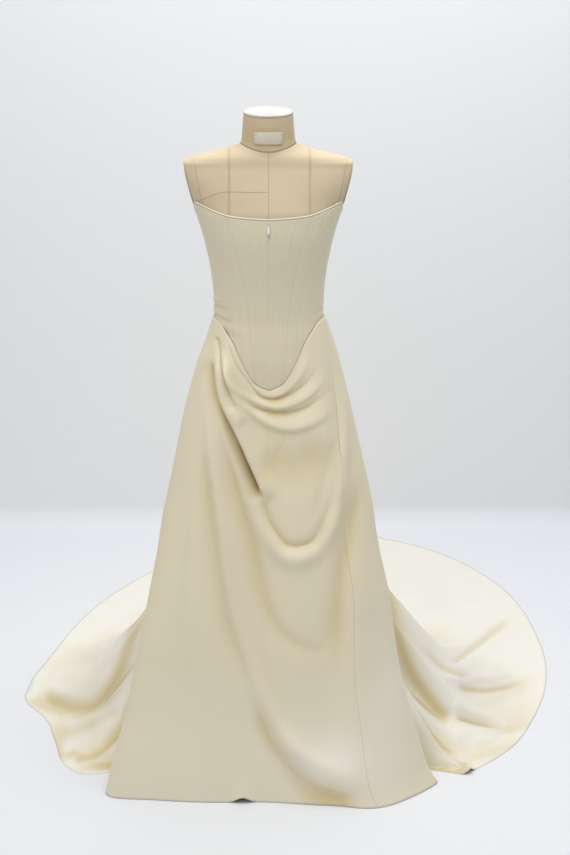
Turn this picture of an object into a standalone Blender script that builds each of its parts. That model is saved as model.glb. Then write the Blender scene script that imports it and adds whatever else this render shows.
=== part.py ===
"""Strapless wedding dress with a boned bodice, a draped front and a long train, on a limbless dress form.

Units are metres, +Z is up, and the wearer faces -Y. The origin is on the floor under the form's pole.
Angles round the body are in degrees from the centre front, positive towards +X.
"""

import math
from collections import namedtuple

import bmesh
import bpy
import numpy as np
from mathutils import Vector

# Cloth
CLOTH_WALL = 0.0022
BODY_GAP = 0.0020
SEAM_GAP = 0.0003
WAIST_LAP = 0.0012
WAIST_STAND_OFF = 0.0008

# Dress form and its stand
FORM_FOOT_HEIGHT = 0.770
NECK_BASE_HEIGHT = 1.449
NECK_TOP_HEIGHT = 1.521
NECK_BASE_RADIUS = 0.0635
NECK_TOP_RADIUS = 0.0560
NECK_TOP_TILT = math.radians(8.5)
NECK_CAP_THICKNESS = 0.006
BOARD_THICKNESS = 0.018
POLE_RADIUS = 0.016
POLE_COLLAR_RADIUS = 0.032
POLE_COLLAR_HEIGHT = 0.045
STAND_PLATE_RADIUS = 0.190
STAND_PLATE_THICKNESS = 0.012
STAND_BOSS_RADIUS = 0.030
STAND_BOSS_HEIGHT = 0.040
ARM_PLANE_POINT = (0.1665, 0.0, 1.300)
ARM_PLANE_LEAN = math.atan2(0.0275, 0.108)
ARM_PLATE_THICKNESS = 0.005
ARM_PLATE_SHARE = 0.90
NAME_PLATE_SIZE = (0.064, 0.027)
NAME_PLATE_THICKNESS = 0.0012
NAME_PLATE_HEIGHT = 1.463

# Mesh steps
TORSO_COLUMNS, TORSO_ROWS = 28, 20
BODICE_ROWS = 8
LINE_STEPS = 48

Section = namedtuple("Section", "height half_width front back square")
BODY = [
    Section(0.770, 0.136, 0.090, 0.104, 2.1),
    Section(0.860, 0.147, 0.101, 0.113, 2.1),
    Section(0.940, 0.144, 0.104, 0.108, 2.1),
    Section(1.000, 0.1330, 0.099, 0.095, 2.1),
    Section(1.060, 0.1238, 0.092, 0.084, 2.1),
    Section(1.110, 0.1255, 0.094, 0.086, 2.1),
    Section(1.160, 0.1310, 0.101, 0.091, 2.1),
    Section(1.205, 0.1390, 0.1095, 0.097, 2.15),
    Section(1.250, 0.1495, 0.1143, 0.102, 2.25),
    Section(1.290, 0.1625, 0.1136, 0.106, 2.25),
    Section(1.320, 0.1765, 0.103, 0.108, 2.2),
    Section(1.350, 0.1920, 0.091, 0.106, 2.2),
    Section(1.380, 0.2030, 0.079, 0.100, 2.1),
    Section(1.402, 0.2050, 0.071, 0.091, 2.0),
    Section(1.416, 0.1820, 0.067, 0.083, 2.0),
    Section(1.430, 0.1280, 0.063, 0.074, 2.0),
    Section(1.440, 0.0880, 0.061, 0.067, 2.0),
    Section(1.449, 0.0645, 0.059, 0.061, 2.0),
]

# Heights of the bodice's two edges
Edge = namedtuple("Edge", "angle height")
NECKLINE = [
    Edge(0, 1.2860),
    Edge(27, 1.2915),
    Edge(42, 1.3005),
    Edge(56, 1.3115),
    Edge(66, 1.3170),
    Edge(75, 1.3060),
    Edge(90, 1.2830),
    Edge(110, 1.2620),
    Edge(140, 1.2360),
    Edge(180, 1.2220),
]
WAIST_SEAM = [
    Edge(0, 0.8930),
    Edge(11, 0.9075),
    Edge(18, 0.9310),
    Edge(24, 0.9560),
    Edge(30, 0.9800),
    Edge(36, 1.0010),
    Edge(47, 1.0240),
    Edge(62, 1.0450),
    Edge(90, 1.0520),
    Edge(130, 1.0450),
    Edge(180, 1.0300),
]

# Bodice seams, and the columns of the panel that ends at each
BodiceSeam = namedtuple("BodiceSeam", "panel low_angle top_angle columns")
BODICE_SEAMS = [
    BodiceSeam("side_front", 47, 63, 5),
    BodiceSeam("side", 90, 95, 4),
    BodiceSeam("side_back", 135, 139, 5),
    BodiceSeam("centre_back", 180, 180, 5),
]
PRINCESS_LOW, PRINCESS_TOP = 11, 33
CENTRE_FRONT_COLUMNS = 6

# Hem outline on the floor, as a distance from the pole
Hem = namedtuple("Hem", "angle reach")
HEM = [
    Hem(-158.5, 1.107),
    Hem(-147, 0.956),
    Hem(-130, 0.783),
    Hem(-109, 0.682),
    Hem(-102, 0.660),
    Hem(-94, 0.585),
    Hem(-80, 0.542),
    Hem(-67, 0.538),
    Hem(-57, 0.520),
    Hem(-47, 0.527),
    Hem(-36, 0.470),
    Hem(-20, 0.419),
    Hem(0, 0.395),
    Hem(18, 0.434),
    Hem(30, 0.488),
    Hem(43, 0.498),
    Hem(52, 0.505),
    Hem(62, 0.545),
    Hem(78, 0.616),
    Hem(92, 0.680),
    Hem(110, 0.807),
    Hem(126, 0.962),
    Hem(144, 1.212),
    Hem(156, 1.366),
    Hem(168, 1.451),
    Hem(177, 1.457),
    Hem(187, 1.345),
]

# Where a thread of the skirt leaves the waist seam, against where it meets the hem
Thread = namedtuple("Thread", "hem_angle waist_angle")
THREADS = [
    Thread(-184, -180),
    Thread(-140, -146),
    Thread(-100, -118),
    Thread(-66, -98),
    Thread(-51, -84),
    Thread(-43, -70),
    Thread(-20, -31),
    Thread(0, 2),
    Thread(18, 43),
    Thread(30, 80),
    Thread(52, 91),
    Thread(66, 100),
    Thread(100, 122),
    Thread(140, 150),
    Thread(176, 180),
]

# Skirt seams, and the columns of the panel that ends at each
SkirtSeam = namedtuple("SkirtSeam", "panel start end columns")
SKIRT_PANELS = [
    SkirtSeam("skirt_front", -53, 30, 31),
    SkirtSeam("skirt_side_front", 30, 57, 8),
    SkirtSeam("skirt_back_right", 57, 176, 16),
    SkirtSeam("skirt_back_left", -184, -92, 11),
    SkirtSeam("skirt_side_left", -92, -53, 8),
]
CROWDING = 3.0

# How far down its threads the skirt's rows lie
RowBand = namedtuple("RowBand", "share rows")
ROW_BANDS = [RowBand(0.22, 13), RowBand(0.46, 11), RowBand(1.00, 10)]

# How far the cloth stands out from the waist seam at each height: where it runs out as the train, and at the
# two sides of the front, where it drops straight
Flare = namedtuple("Flare", "height train hip front_left front_right")
FLARE = [
    Flare(0.000, 0.590, 0.000, 0.000, 0.000),
    Flare(0.015, 0.530, 0.001, 0.000, -0.008),
    Flare(0.045, 0.460, 0.003, 0.000, -0.016),
    Flare(0.090, 0.405, 0.005, 0.000, -0.019),
    Flare(0.154, 0.335, 0.008, -0.004, -0.020),
    Flare(0.235, 0.262, 0.010, -0.002, -0.022),
    Flare(0.350, 0.180, 0.014, 0.002, -0.012),
    Flare(0.443, 0.138, 0.020, 0.002, -0.002),
    Flare(0.546, 0.098, 0.028, 0.001, -0.004),
    Flare(0.648, 0.066, 0.033, 0.002, 0.001),
    Flare(0.748, 0.045, 0.032, 0.007, 0.004),
    Flare(0.860, 0.024, 0.030, 0.012, 0.007),
    Flare(0.940, 0.012, 0.020, 0.011, 0.008),
    Flare(1.000, 0.005, 0.009, 0.004, 0.006),
    Flare(1.052, 0.000, 0.000, 0.000, 0.000),
]
LANDING_SHARE = 0.90
STRAIGHT_FROM, STRAIGHT_TO = (-50, 52), (-64, 66)

# Folds that fall from the hip to the hem: a valley where the lift is negative
Flute = namedtuple("Flute", "name top_angle hem_angle top_width hem_width start stop lift")
FLUTES = [
    Flute("left corner valley", -54, -54.5, 4.0, 4.6, 0.40, 2.0, -0.130),
    Flute("left low valley", -58, -67, 4.0, 5.0, 0.55, 0.93, -0.050),
    Flute("left side ridge", -63, -82, 5.0, 7.0, 0.38, 0.94, 0.042),
    Flute("left tip valley", -70, -102, 6.0, 6.0, 0.38, 0.95, -0.060),
    Flute("left tip ridge", -84, -112, 7.0, 5.0, 0.45, 0.97, 0.026),
    Flute("left floor fold", -112, -132, 7.0, 6.0, 0.50, 0.92, 0.016),
    Flute("right corner valley", 57, 57.5, 4.0, 4.4, 0.38, 2.0, -0.115),
    Flute("right hem arch", 62, 61, 4.0, 2.8, 0.60, 2.0, 0.028),
    Flute("right side valley", 74, 85, 5.0, 5.5, 0.40, 0.84, -0.070),
    Flute("right landing ridge", 84, 96, 6.0, 5.5, 0.42, 0.93, 0.038),
    Flute("right floor valley", 96, 104, 5.0, 4.5, 0.56, 0.92, -0.030),
    Flute("right floor fold", 106, 111, 5.0, 4.5, 0.56, 0.95, 0.022),
    Flute("right back fold", 124, 129, 6.0, 5.0, 0.45, 0.93, 0.024),
    Flute("back fold right", 148, 150, 7.0, 5.0, 0.18, 0.90, 0.028),
    Flute("back fold centre right", 168, 168, 6.0, 4.0, 0.15, 0.86, 0.026),
    Flute("back fold centre left", -172, -170, 6.0, 4.0, 0.15, 0.86, 0.026),
    Flute("back fold left", -148, -152, 8.0, 5.0, 0.18, 0.90, 0.030),
    Flute("left back fold", -126, -142, 7.0, 5.0, 0.30, 0.90, 0.022),
]

# Folds of the draped front, each a curve from the left hip across the front, seen from the front as (x, height):
# a hollow where the lift is negative
Fold = namedtuple("Fold", "name hip flank low bend rise width lift")
FOLDS = [
    Fold("rolled edge", (-0.106, 1.020), (-0.060, 0.943), (0.009, 0.884), (0.060, 0.918), (0.096, 0.985), 0.012, 0.009),
    Fold("second cowl", (-0.099, 0.981), (-0.060, 0.898), (0.018, 0.862), (0.070, 0.880), (0.124, 0.918), 0.012, 0.012),
    Fold("third cowl", (-0.105, 0.966), (-0.060, 0.872), (0.034, 0.818), (0.091, 0.827), (0.147, 0.853), 0.015, 0.016),
    Fold("hip roll", (-0.120, 0.986), (-0.110, 0.921), (-0.094, 0.871), (-0.076, 0.845), (-0.061, 0.829), 0.012, 0.008),
    Fold("drape edge", (-0.115, 0.945), (-0.102, 0.881), (-0.065, 0.807), (-0.029, 0.726), (0.007, 0.646), 0.021, 0.017),
    Fold("drape hollow", (-0.124, 0.930), (-0.117, 0.878), (-0.086, 0.800), (-0.052, 0.715), (-0.022, 0.645), 0.019, -0.018),
    Fold("deep cowl", (-0.038, 0.660), (-0.003, 0.592), (0.048, 0.545), (0.098, 0.568), (0.146, 0.660), 0.024, 0.011),
    Fold("deep hollow", (-0.046, 0.640), (-0.015, 0.545), (0.041, 0.499), (0.103, 0.530), (0.152, 0.635), 0.022, -0.008),
    Fold("long hollow", (-0.121, 0.857), (-0.088, 0.690), (-0.022, 0.500), (0.068, 0.366), (0.144, 0.440), 0.020, -0.015),
    Fold("long ridge", (-0.142, 0.918), (-0.118, 0.630), (-0.062, 0.339), (0.044, 0.128), (0.225, 0.050), 0.022, 0.014),
    Fold("side hollow", (-0.157, 0.798), (-0.143, 0.670), (-0.127, 0.549), (-0.102, 0.402), (-0.050, 0.240), 0.018, -0.007),
    Fold("foot hollow", (-0.040, 0.235), (-0.010, 0.150), (0.035, 0.085), (0.090, 0.040), (0.216, 0.012), 0.018, -0.010),
    Fold("right edge", (0.168, 0.916), (0.178, 0.832), (0.172, 0.739), (0.158, 0.644), (0.141, 0.549), 0.015, 0.008),
    Fold("right hollow", (0.201, 0.702), (0.197, 0.636), (0.184, 0.568), (0.165, 0.475), (0.158, 0.250), 0.026, -0.013),
]
FOLD_STEPS = 28

# Drop pearl at the neckline, hung on rings
RING_WIRE = 0.00045
SEWN_RING_RADIUS = 0.0026
EYE_RADIUS = 0.0017
RING_PLAY = 0.00022
PEARL_LENGTH = 0.0215
PEARL_RADIUS = 0.0033
CRYSTAL_LENGTH = 0.0080
CRYSTAL_RADIUS = 0.0028
RING_DROP = 0.0045
PEARL_PROFILE = [(0, 0.30), (0.05, 0.68), (0.16, 0.95), (0.30, 1.0), (0.60, 0.80), (0.86, 0.50), (1, 0.28)]
CRYSTAL_PROFILE = [(0, 0.25), (0.25, 0.85), (0.5, 1.0), (0.75, 0.85), (1, 0.25)]

# Zip at the centre back
SLIDER_SIZE = (0.0056, 0.0030, 0.0105)
SLIDER_DROP = 0.016
TAB_LENGTH, TAB_WIDTH, TAB_THICKNESS = 0.024, 0.0048, 0.0013
TAB_RISE = 0.0009
EDGE_ROLL_RADIUS = 0.0017
ROLL_GAP = 0.0007
ROLL_OUT = 0.0006
ROLL_END = 178.6

Finish = namedtuple("Finish", "colour roughness metallic")
SATIN = Finish((0.83, 0.79, 0.68), 0.45, 0.0)
LINEN = Finish((0.78, 0.70, 0.57), 0.85, 0.0)
WHITE_TOP = Finish((0.90, 0.89, 0.86), 0.55, 0.0)
WOOD = Finish((0.55, 0.40, 0.26), 0.55, 0.0)
STEEL = Finish((0.55, 0.56, 0.58), 0.35, 1.0)
PLATE = Finish((0.82, 0.81, 0.77), 0.5, 0.0)
PEARL = Finish((0.93, 0.91, 0.87), 0.15, 0.0)
CRYSTAL = Finish((0.75, 0.76, 0.66), 0.08, 0.0)


def clear_scene():
    for obj in list(bpy.data.objects):
        bpy.data.objects.remove(obj)


def material(name, finish):
    made = bpy.data.materials.get(name)
    if made is None:
        made = bpy.data.materials.new(name)
        made.use_nodes = True
        shader = made.node_tree.nodes["Principled BSDF"]
        shader.inputs["Base Color"].default_value = (*finish.colour, 1.0)
        shader.inputs["Roughness"].default_value = finish.roughness
        shader.inputs["Metallic"].default_value = finish.metallic
    return made


def add_object(name, mesh, material_name, finish, smooth_degrees=40):
    obj = bpy.data.objects.new(name, mesh)
    bpy.context.scene.collection.objects.link(obj)
    mesh.materials.append(material(material_name, finish))
    mesh.shade_smooth()
    mesh.set_sharp_from_angle(angle=math.radians(smooth_degrees))
    return obj


def mesh_from_bmesh(name, shape):
    bmesh.ops.recalc_face_normals(shape, faces=shape.faces)
    mesh = bpy.data.meshes.new(name)
    shape.to_mesh(mesh)
    shape.free()
    return mesh


# Interpolation


def smooth_curve(at, known_at, known):
    """A smooth curve through the known values, with no overshoot between them."""
    known_at = np.asarray(known_at, float)
    known = np.asarray(known, float)
    step = np.diff(known_at)
    slope = np.diff(known) / step
    tangent = np.zeros_like(known)
    same_way = slope[:-1] * slope[1:] > 0
    total = np.where(same_way, slope[:-1] + slope[1:], 1.0)
    tangent[1:-1] = np.where(same_way, 2 * slope[:-1] * slope[1:] / total, 0.0)
    tangent[0], tangent[-1] = slope[0], slope[-1]
    at = np.clip(np.asarray(at, float), known_at[0], known_at[-1])
    i = np.clip(np.searchsorted(known_at, at) - 1, 0, len(step) - 1)
    u = (at - known_at[i]) / step[i]
    return (
        known[i] * (1 + 2 * u) * (1 - u) ** 2
        + known[i + 1] * u**2 * (3 - 2 * u)
        + step[i] * tangent[i] * u * (1 - u) ** 2
        - step[i] * tangent[i + 1] * u**2 * (1 - u)
    )


def round_curve(angle, known_at, known):
    """A smooth closed curve over the full turn, through values given at angles in rising order."""
    known_at = np.asarray(known_at, float)
    known = np.asarray(known, float)
    known_at = np.concatenate([known_at[-3:] - 360, known_at, known_at[:3] + 360])
    known = np.concatenate([known[-3:], known, known[:3]])
    tangent = np.gradient(known, known_at)
    angle = (np.asarray(angle, float) - known_at[3]) % 360 + known_at[3]
    i = np.clip(np.searchsorted(known_at, angle) - 1, 0, len(known) - 2)
    step = known_at[i + 1] - known_at[i]
    u = (angle - known_at[i]) / step
    return (
        known[i] * (1 + 2 * u) * (1 - u) ** 2
        + known[i + 1] * u**2 * (3 - 2 * u)
        + step * tangent[i] * u * (1 - u) ** 2
        - step * tangent[i + 1] * u**2 * (1 - u)
    )


def ramp(low, high, value):
    """0 below low, 1 above high, and smooth between them."""
    u = np.clip((np.asarray(value, float) - low) / (high - low), 0, 1)
    return u * u * (3 - 2 * u)


def column(rows, name):
    return [getattr(row, name) for row in rows]


# Body and bodice


def body_point(angle, height):
    """A point of the form's skin at this angle from the centre front, and the way out from it."""
    angle = np.radians(angle)
    heights = column(BODY, "height")
    half = smooth_curve(height, heights, column(BODY, "half_width"))
    front = smooth_curve(height, heights, column(BODY, "front"))
    back = smooth_curve(height, heights, column(BODY, "back"))
    power = 2.0 / smooth_curve(height, heights, column(BODY, "square"))
    across, along = np.sin(angle), np.cos(angle)
    depth = np.where(along > 0, front, back)
    x = half * np.sign(across) * np.abs(across) ** power
    y = -depth * np.sign(along) * np.abs(along) ** power
    out = np.stack([across / half, -along / depth, np.zeros_like(x)], axis=-1)
    out /= np.linalg.norm(out, axis=-1, keepdims=True)
    return np.stack([x, y, np.broadcast_to(height, x.shape)], axis=-1), out


def edge_height(rows, angle):
    return smooth_curve(np.abs(angle), column(rows, "angle"), column(rows, "height"))


def grid_normals(points):
    """The outward normals of a grid of points, whose rows run down the cloth and whose columns run round it."""
    normal = np.cross(np.gradient(points, axis=0), np.gradient(points, axis=1))
    return normal / np.maximum(np.linalg.norm(normal, axis=-1, keepdims=True), 1e-9)


def cloth_panel(name, inner, outer, material_name="satin", finish=SATIN):
    """A closed wall between two grids of points. At a seam, the edges of both its panels split the same way."""
    rows, columns = inner.shape[:2]
    shape = bmesh.new()
    sides = []
    for grid in (inner, outer):
        sides.append([[shape.verts.new(point) for point in row] for row in grid])
    inside, outside = sides
    for j in range(rows - 1):
        for i in range(columns - 1):
            for side in sides:
                shape.faces.new((side[j][i], side[j][i + 1], side[j + 1][i + 1], side[j + 1][i]))
    for j in (0, rows - 1):
        for i in range(columns - 1):
            shape.faces.new((inside[j][i], inside[j][i + 1], outside[j][i + 1], outside[j][i]))
    for i in (0, columns - 1):
        for j in range(rows - 1):
            shape.faces.new((inside[j][i], inside[j + 1][i], outside[j + 1][i]))
            shape.faces.new((inside[j][i], outside[j + 1][i], outside[j][i]))
    return add_object(name, mesh_from_bmesh(name, shape), material_name, finish)


def part_at_seams(points):
    """The grid's first and last columns moved in, by half of the gap that a seam keeps."""
    points = points.copy()
    for edge, beside in ((0, 1), (-1, -2)):
        way = points[:, beside] - points[:, edge]
        way /= np.linalg.norm(way, axis=-1, keepdims=True)
        points[:, edge] += way * SEAM_GAP / 2
    return points


def bodice_panel(name, low, top, columns):
    """A panel between two seams, given as the angles of its two edges at the waist seam and at the neckline."""
    share = np.linspace(0, 1, columns + 1)
    low_angle = low[0] + (low[1] - low[0]) * share
    top_angle = top[0] + (top[1] - top[0]) * share
    rise = np.linspace(0, 1, BODICE_ROWS + 1)[:, None]
    angle = low_angle + (top_angle - low_angle) * rise
    foot = edge_height(WAIST_SEAM, low_angle)
    height = foot + (edge_height(NECKLINE, top_angle) - foot) * rise
    skin, out = body_point(angle, height)
    inner = part_at_seams(skin + out * BODY_GAP)
    outer = part_at_seams(skin + out * (BODY_GAP + CLOTH_WALL))
    cloth_panel(name, inner, outer)


def bodice():
    bodice_panel(
        "bodice_centre_front",
        (-PRINCESS_LOW, PRINCESS_LOW),
        (-PRINCESS_TOP, PRINCESS_TOP),
        CENTRE_FRONT_COLUMNS,
    )
    low, top = PRINCESS_LOW, PRINCESS_TOP
    for seam in BODICE_SEAMS:
        lows, tops = (low, seam.low_angle), (top, seam.top_angle)
        bodice_panel(f"bodice_{seam.panel}_right", lows, tops, seam.columns)
        bodice_panel(
            f"bodice_{seam.panel}_left",
            (-lows[1], -lows[0]),
            (-tops[1], -tops[0]),
            seam.columns,
        )
        low, top = seam.low_angle, seam.top_angle


def neckline_columns():
    """The angles of the bodice's columns at its top edge, so that the roll's bends meet the panels'."""
    angles, last = list(np.linspace(0, PRINCESS_TOP, CENTRE_FRONT_COLUMNS // 2 + 1)), PRINCESS_TOP
    for seam in BODICE_SEAMS:
        angles += list(np.linspace(last, seam.top_angle, seam.columns + 1)[1:])
        last = seam.top_angle
    angles[-1] = ROLL_END
    return np.array([-angle for angle in angles[:0:-1]] + angles)


def neckline_roll():
    """The thin rolled edge that finishes the neckline, open at the centre back."""
    angles = neckline_columns()
    skin, out = body_point(angles, edge_height(NECKLINE, angles))
    edge = skin + out * (BODY_GAP + CLOTH_WALL / 2 + ROLL_OUT)
    along = np.gradient(edge, axis=0)
    up = np.cross(along, out)
    up *= np.sign(up[:, 2:3]) / np.linalg.norm(up, axis=1, keepdims=True)
    middle = edge + up * (EDGE_ROLL_RADIUS + ROLL_GAP)
    curve = bpy.data.curves.new("neckline_roll", "CURVE")
    curve.dimensions = "3D"
    curve.bevel_depth = EDGE_ROLL_RADIUS
    curve.bevel_resolution = 1
    curve.use_fill_caps = True
    line = curve.splines.new("POLY")
    line.points.add(len(middle) - 1)
    for point, place in zip(line.points, middle):
        point.co = (*place, 1.0)
    obj = bpy.data.objects.new("neckline_roll", curve)
    bpy.context.scene.collection.objects.link(obj)
    curve.materials.append(material("satin", SATIN))
    return obj


# Skirt


def straightness(angle):
    """1 where the cloth drops straight to its hem, 0 where it lands and runs out as the train."""
    left = ramp(STRAIGHT_TO[0], STRAIGHT_FROM[0], angle)
    right = 1 - ramp(STRAIGHT_FROM[1], STRAIGHT_TO[1], angle)
    return left * right


def skirt_line(angle):
    """One thread of the skirt before its folds, from the waist seam to the hem, as evenly spaced points."""
    waist_angle = smooth_curve(angle, column(THREADS, "hem_angle"), column(THREADS, "waist_angle"))
    seam = edge_height(WAIST_SEAM, waist_angle) + WAIST_LAP
    skin, out = body_point(np.array([waist_angle]), np.array([seam]))
    start = skin[0] + out[0] * (BODY_GAP + CLOTH_WALL + WAIST_STAND_OFF)
    reach = round_curve(angle, column(HEM, "angle"), column(HEM, "reach"))
    hem = np.array([math.sin(math.radians(angle)), -math.cos(math.radians(angle)), 0]) * reach
    way = hem - start
    way[2] = 0
    long = np.linalg.norm(way)
    way /= long
    straight = float(straightness(angle))
    height = np.linspace(seam, 0, LINE_STEPS)
    heights = column(FLARE, "height")
    train = smooth_curve(height, heights, column(FLARE, "train"))
    train -= train[0] * height / seam
    landing = min(train[-1], long * LANDING_SHARE)
    spread = straight * long * (1 - height / seam) + (1 - straight) * train * landing / train[-1]
    front = "front_left" if angle < 0 else "front_right"
    hip = (1 - straight) * smooth_curve(height, heights, column(FLARE, "hip"))
    hip += straight * smooth_curve(height, heights, column(FLARE, front))
    hip -= hip[0] * height / seam
    waist_turn = math.radians(waist_angle)
    hip_share = math.sin(waist_turn) ** 2 if abs(waist_angle) < 90 else 1.0
    side = np.array([math.sin(waist_turn), -math.cos(waist_turn), 0])
    plan = start[None, :] * [1, 1, 0] + way * spread[:, None] + side * (hip * hip_share)[:, None]
    hang = plan + np.array([0, 0, 1]) * height[:, None]
    left = long - spread[-1]
    lying = hang[-1] + way * np.linspace(0, left, LINE_STEPS)[1:, None]
    line = np.concatenate([hang, lying]) if left > 1e-4 else hang
    run = np.concatenate([[0], np.cumsum(np.linalg.norm(np.diff(line, axis=0), axis=1))])
    return line, run / run[-1]


def skirt_shares():
    """How far down its threads each row of the skirt is, with the rows closest over the folds at the hip."""
    shares, last = [0.0], 0.0
    for band in ROW_BANDS:
        shares += list(np.linspace(last, band.share, band.rows + 1)[1:])
        last = band.share
    return np.array(shares)


def panel_angles(panel):
    """The hem angles of a panel's threads, closer together across narrow folds."""
    fine = np.linspace(panel.start, panel.end, 400)
    crowd = np.zeros_like(fine)
    for flute in FLUTES:
        away = (fine - flute.hem_angle + 180) % 360 - 180
        need = CROWDING * abs(flute.lift) / math.radians(flute.hem_width)
        crowd = np.maximum(crowd, need * np.exp(-((away / flute.hem_width / 1.3) ** 2)))
    density = 1 + crowd
    total = np.concatenate([[0], np.cumsum((density[1:] + density[:-1]) / 2)])
    return np.interp(np.linspace(0, total[-1], panel.columns + 1), total, fine)


def flute_lift(angle, share):
    lift = np.zeros(np.broadcast(angle, share).shape)
    for flute in FLUTES:
        down = ramp(flute.start, 1.0, share)
        centre = flute.top_angle + (flute.hem_angle - flute.top_angle) * down
        width = flute.top_width + (flute.hem_width - flute.top_width) * down
        away = (angle - centre + 180) % 360 - 180
        grown = ramp(flute.start, flute.start + 0.35, share)
        kept = 1 - ramp(flute.stop - 0.12, flute.stop, share) if flute.stop < 1 else 1.0
        lift += flute.lift * np.exp(-((away / width) ** 2)) * grown * kept
    return lift


def fold_path(fold):
    """The fold's line through its five points, as seen from the front."""
    places = np.array([fold.hip, fold.flank, fold.low, fold.bend, fold.rise])
    at = np.concatenate([[0], np.cumsum(np.linalg.norm(np.diff(places, axis=0), axis=1))])
    fine = np.linspace(0, at[-1], FOLD_STEPS)
    tangent = np.gradient(places, at, axis=0)
    i = np.clip(np.searchsorted(at, fine) - 1, 0, len(at) - 2)
    step = (at[i + 1] - at[i])[:, None]
    u = (fine[:, None] - at[i][:, None]) / step
    return (
        places[i] * (1 + 2 * u) * (1 - u) ** 2
        + places[i + 1] * u**2 * (3 - 2 * u)
        + step * tangent[i] * u * (1 - u) ** 2
        - step * tangent[i + 1] * u**2 * (1 - u)
    )


def drape_lift(points):
    """How far the draped front's folds move each point out from the plain skirt."""
    seen = points[..., [0, 2]]
    lift = np.zeros(seen.shape[:-1])
    for fold in FOLDS:
        path = fold_path(fold)
        start, step = path[:-1], np.diff(path, axis=0)
        along = ((seen[..., None, :] - start) * step).sum(-1) / (step**2).sum(-1)
        along = np.clip(along, 0, 1)
        away = np.linalg.norm(seen[..., None, :] - start - along[..., None] * step, axis=-1)
        nearest = away.argmin(axis=-1)
        gap = np.take_along_axis(away, nearest[..., None], -1)[..., 0]
        run = (nearest + np.take_along_axis(along, nearest[..., None], -1)[..., 0]) / (FOLD_STEPS - 1)
        ends = ramp(0, 0.15, run) * (1 - ramp(0.80, 1.0, run))
        lift += fold.lift * np.exp(-((gap / fold.width) ** 2)) * ends
    return lift


def skirt_grid(angles):
    """The skirt's inner and outer points, a row for each share of the way down and a column for each thread."""
    shares = skirt_shares()
    points = np.zeros((len(shares), len(angles), 3))
    for i, angle in enumerate(angles):
        line, run = skirt_line(angle)
        for axis in range(3):
            points[:, i, axis] = np.interp(shares, run, line[:, axis])
    angle, share = np.broadcast_arrays(angles[None, :], shares[:, None])
    straight = straightness(angle)
    upright = np.maximum(ramp(0.0, 0.12, points[..., 2]), straight)
    outward = points * [1, 1, 0]
    outward /= np.linalg.norm(outward, axis=-1, keepdims=True)
    way = outward * upright[..., None] + np.array([0, 0, 1]) * (1 - upright)[..., None]
    facing = ramp(0.1, 0.5, -outward[..., 1]) * ramp(-70, -56, angle) * (1 - ramp(40, 56, angle))
    lift = flute_lift(angle, share) + drape_lift(points) * facing
    lift *= ramp(0, 0.05, share)
    points = points + way * lift[..., None]
    points[..., 2] = np.maximum(points[..., 2], 0)
    return points


def skirt_walls(points):
    """The inner grid and the outer one, a cloth's thickness out from it."""
    normal = grid_normals(points)
    normal[0, :, 2] = 0
    normal[0] /= np.linalg.norm(normal[0], axis=-1, keepdims=True)
    outer = points + normal * CLOTH_WALL
    outer[..., 2] = np.maximum(outer[..., 2], points[..., 2])
    return points, outer


def skirt():
    """The skirt's panels, all cut from one closed grid so that their seams meet."""
    panels = sorted(SKIRT_PANELS, key=lambda panel: panel.start)
    angles, first = [], []
    for panel in panels:
        first.append(len(angles))
        angles += list(panel_angles(panel)[:-1])
    count = len(angles)
    order = np.concatenate([np.arange(count), [0]])
    closed = skirt_grid(np.array(angles))[:, order]
    wrapped = np.concatenate([closed[:, -2:-1], closed, closed[:, 1:2]], axis=1)
    inner, outer = skirt_walls(wrapped)
    inner, outer = inner[:, 1:-1], outer[:, 1:-1]
    for panel, begin in zip(panels, first):
        end = begin + panel.columns + 1
        cloth_panel(
            panel.panel,
            part_at_seams(inner[:, begin:end]),
            part_at_seams(outer[:, begin:end]),
        )


# Dress form


def form_torso():
    """The torso, cut flat at the armholes, and the plate that closes each armhole."""
    angles = np.linspace(-180, 180, TORSO_COLUMNS + 1)[:-1]
    heights = np.linspace(FORM_FOOT_HEIGHT, NECK_BASE_HEIGHT, TORSO_ROWS + 1)
    points, _ = body_point(np.tile(angles, (len(heights), 1)), np.tile(heights[:, None], (1, len(angles))))
    shape = bmesh.new()
    rings = [[shape.verts.new(point) for point in row] for row in points]
    for low, high in zip(rings, rings[1:]):
        for i in range(TORSO_COLUMNS):
            k = (i + 1) % TORSO_COLUMNS
            shape.faces.new((low[i], low[k], high[k], high[i]))
    shape.faces.new(rings[0][::-1])
    shape.faces.new(rings[-1])
    plates = []
    for side in (-1, 1):
        point = Vector(ARM_PLANE_POINT) * 1.0
        point.x *= side
        normal = Vector((side * math.cos(ARM_PLANE_LEAN), 0, -math.sin(ARM_PLANE_LEAN)))
        cut = bmesh.ops.bisect_plane(
            shape,
            geom=shape.verts[:] + shape.edges[:] + shape.faces[:],
            plane_co=point,
            plane_no=normal,
            clear_outer=True,
        )
        edges = [item for item in cut["geom_cut"] if isinstance(item, bmesh.types.BMEdge)]
        filled = bmesh.ops.edgeloop_fill(shape, edges=edges)["faces"][0]
        plates.append((side, normal, [vert.co.copy() for vert in filled.verts]))
    add_object("form_torso", mesh_from_bmesh("form_torso", shape), "linen", LINEN)
    for side, normal, outline in plates:
        arm_plate("form_arm_plate_left" if side < 0 else "form_arm_plate_right", normal, outline)


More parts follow.
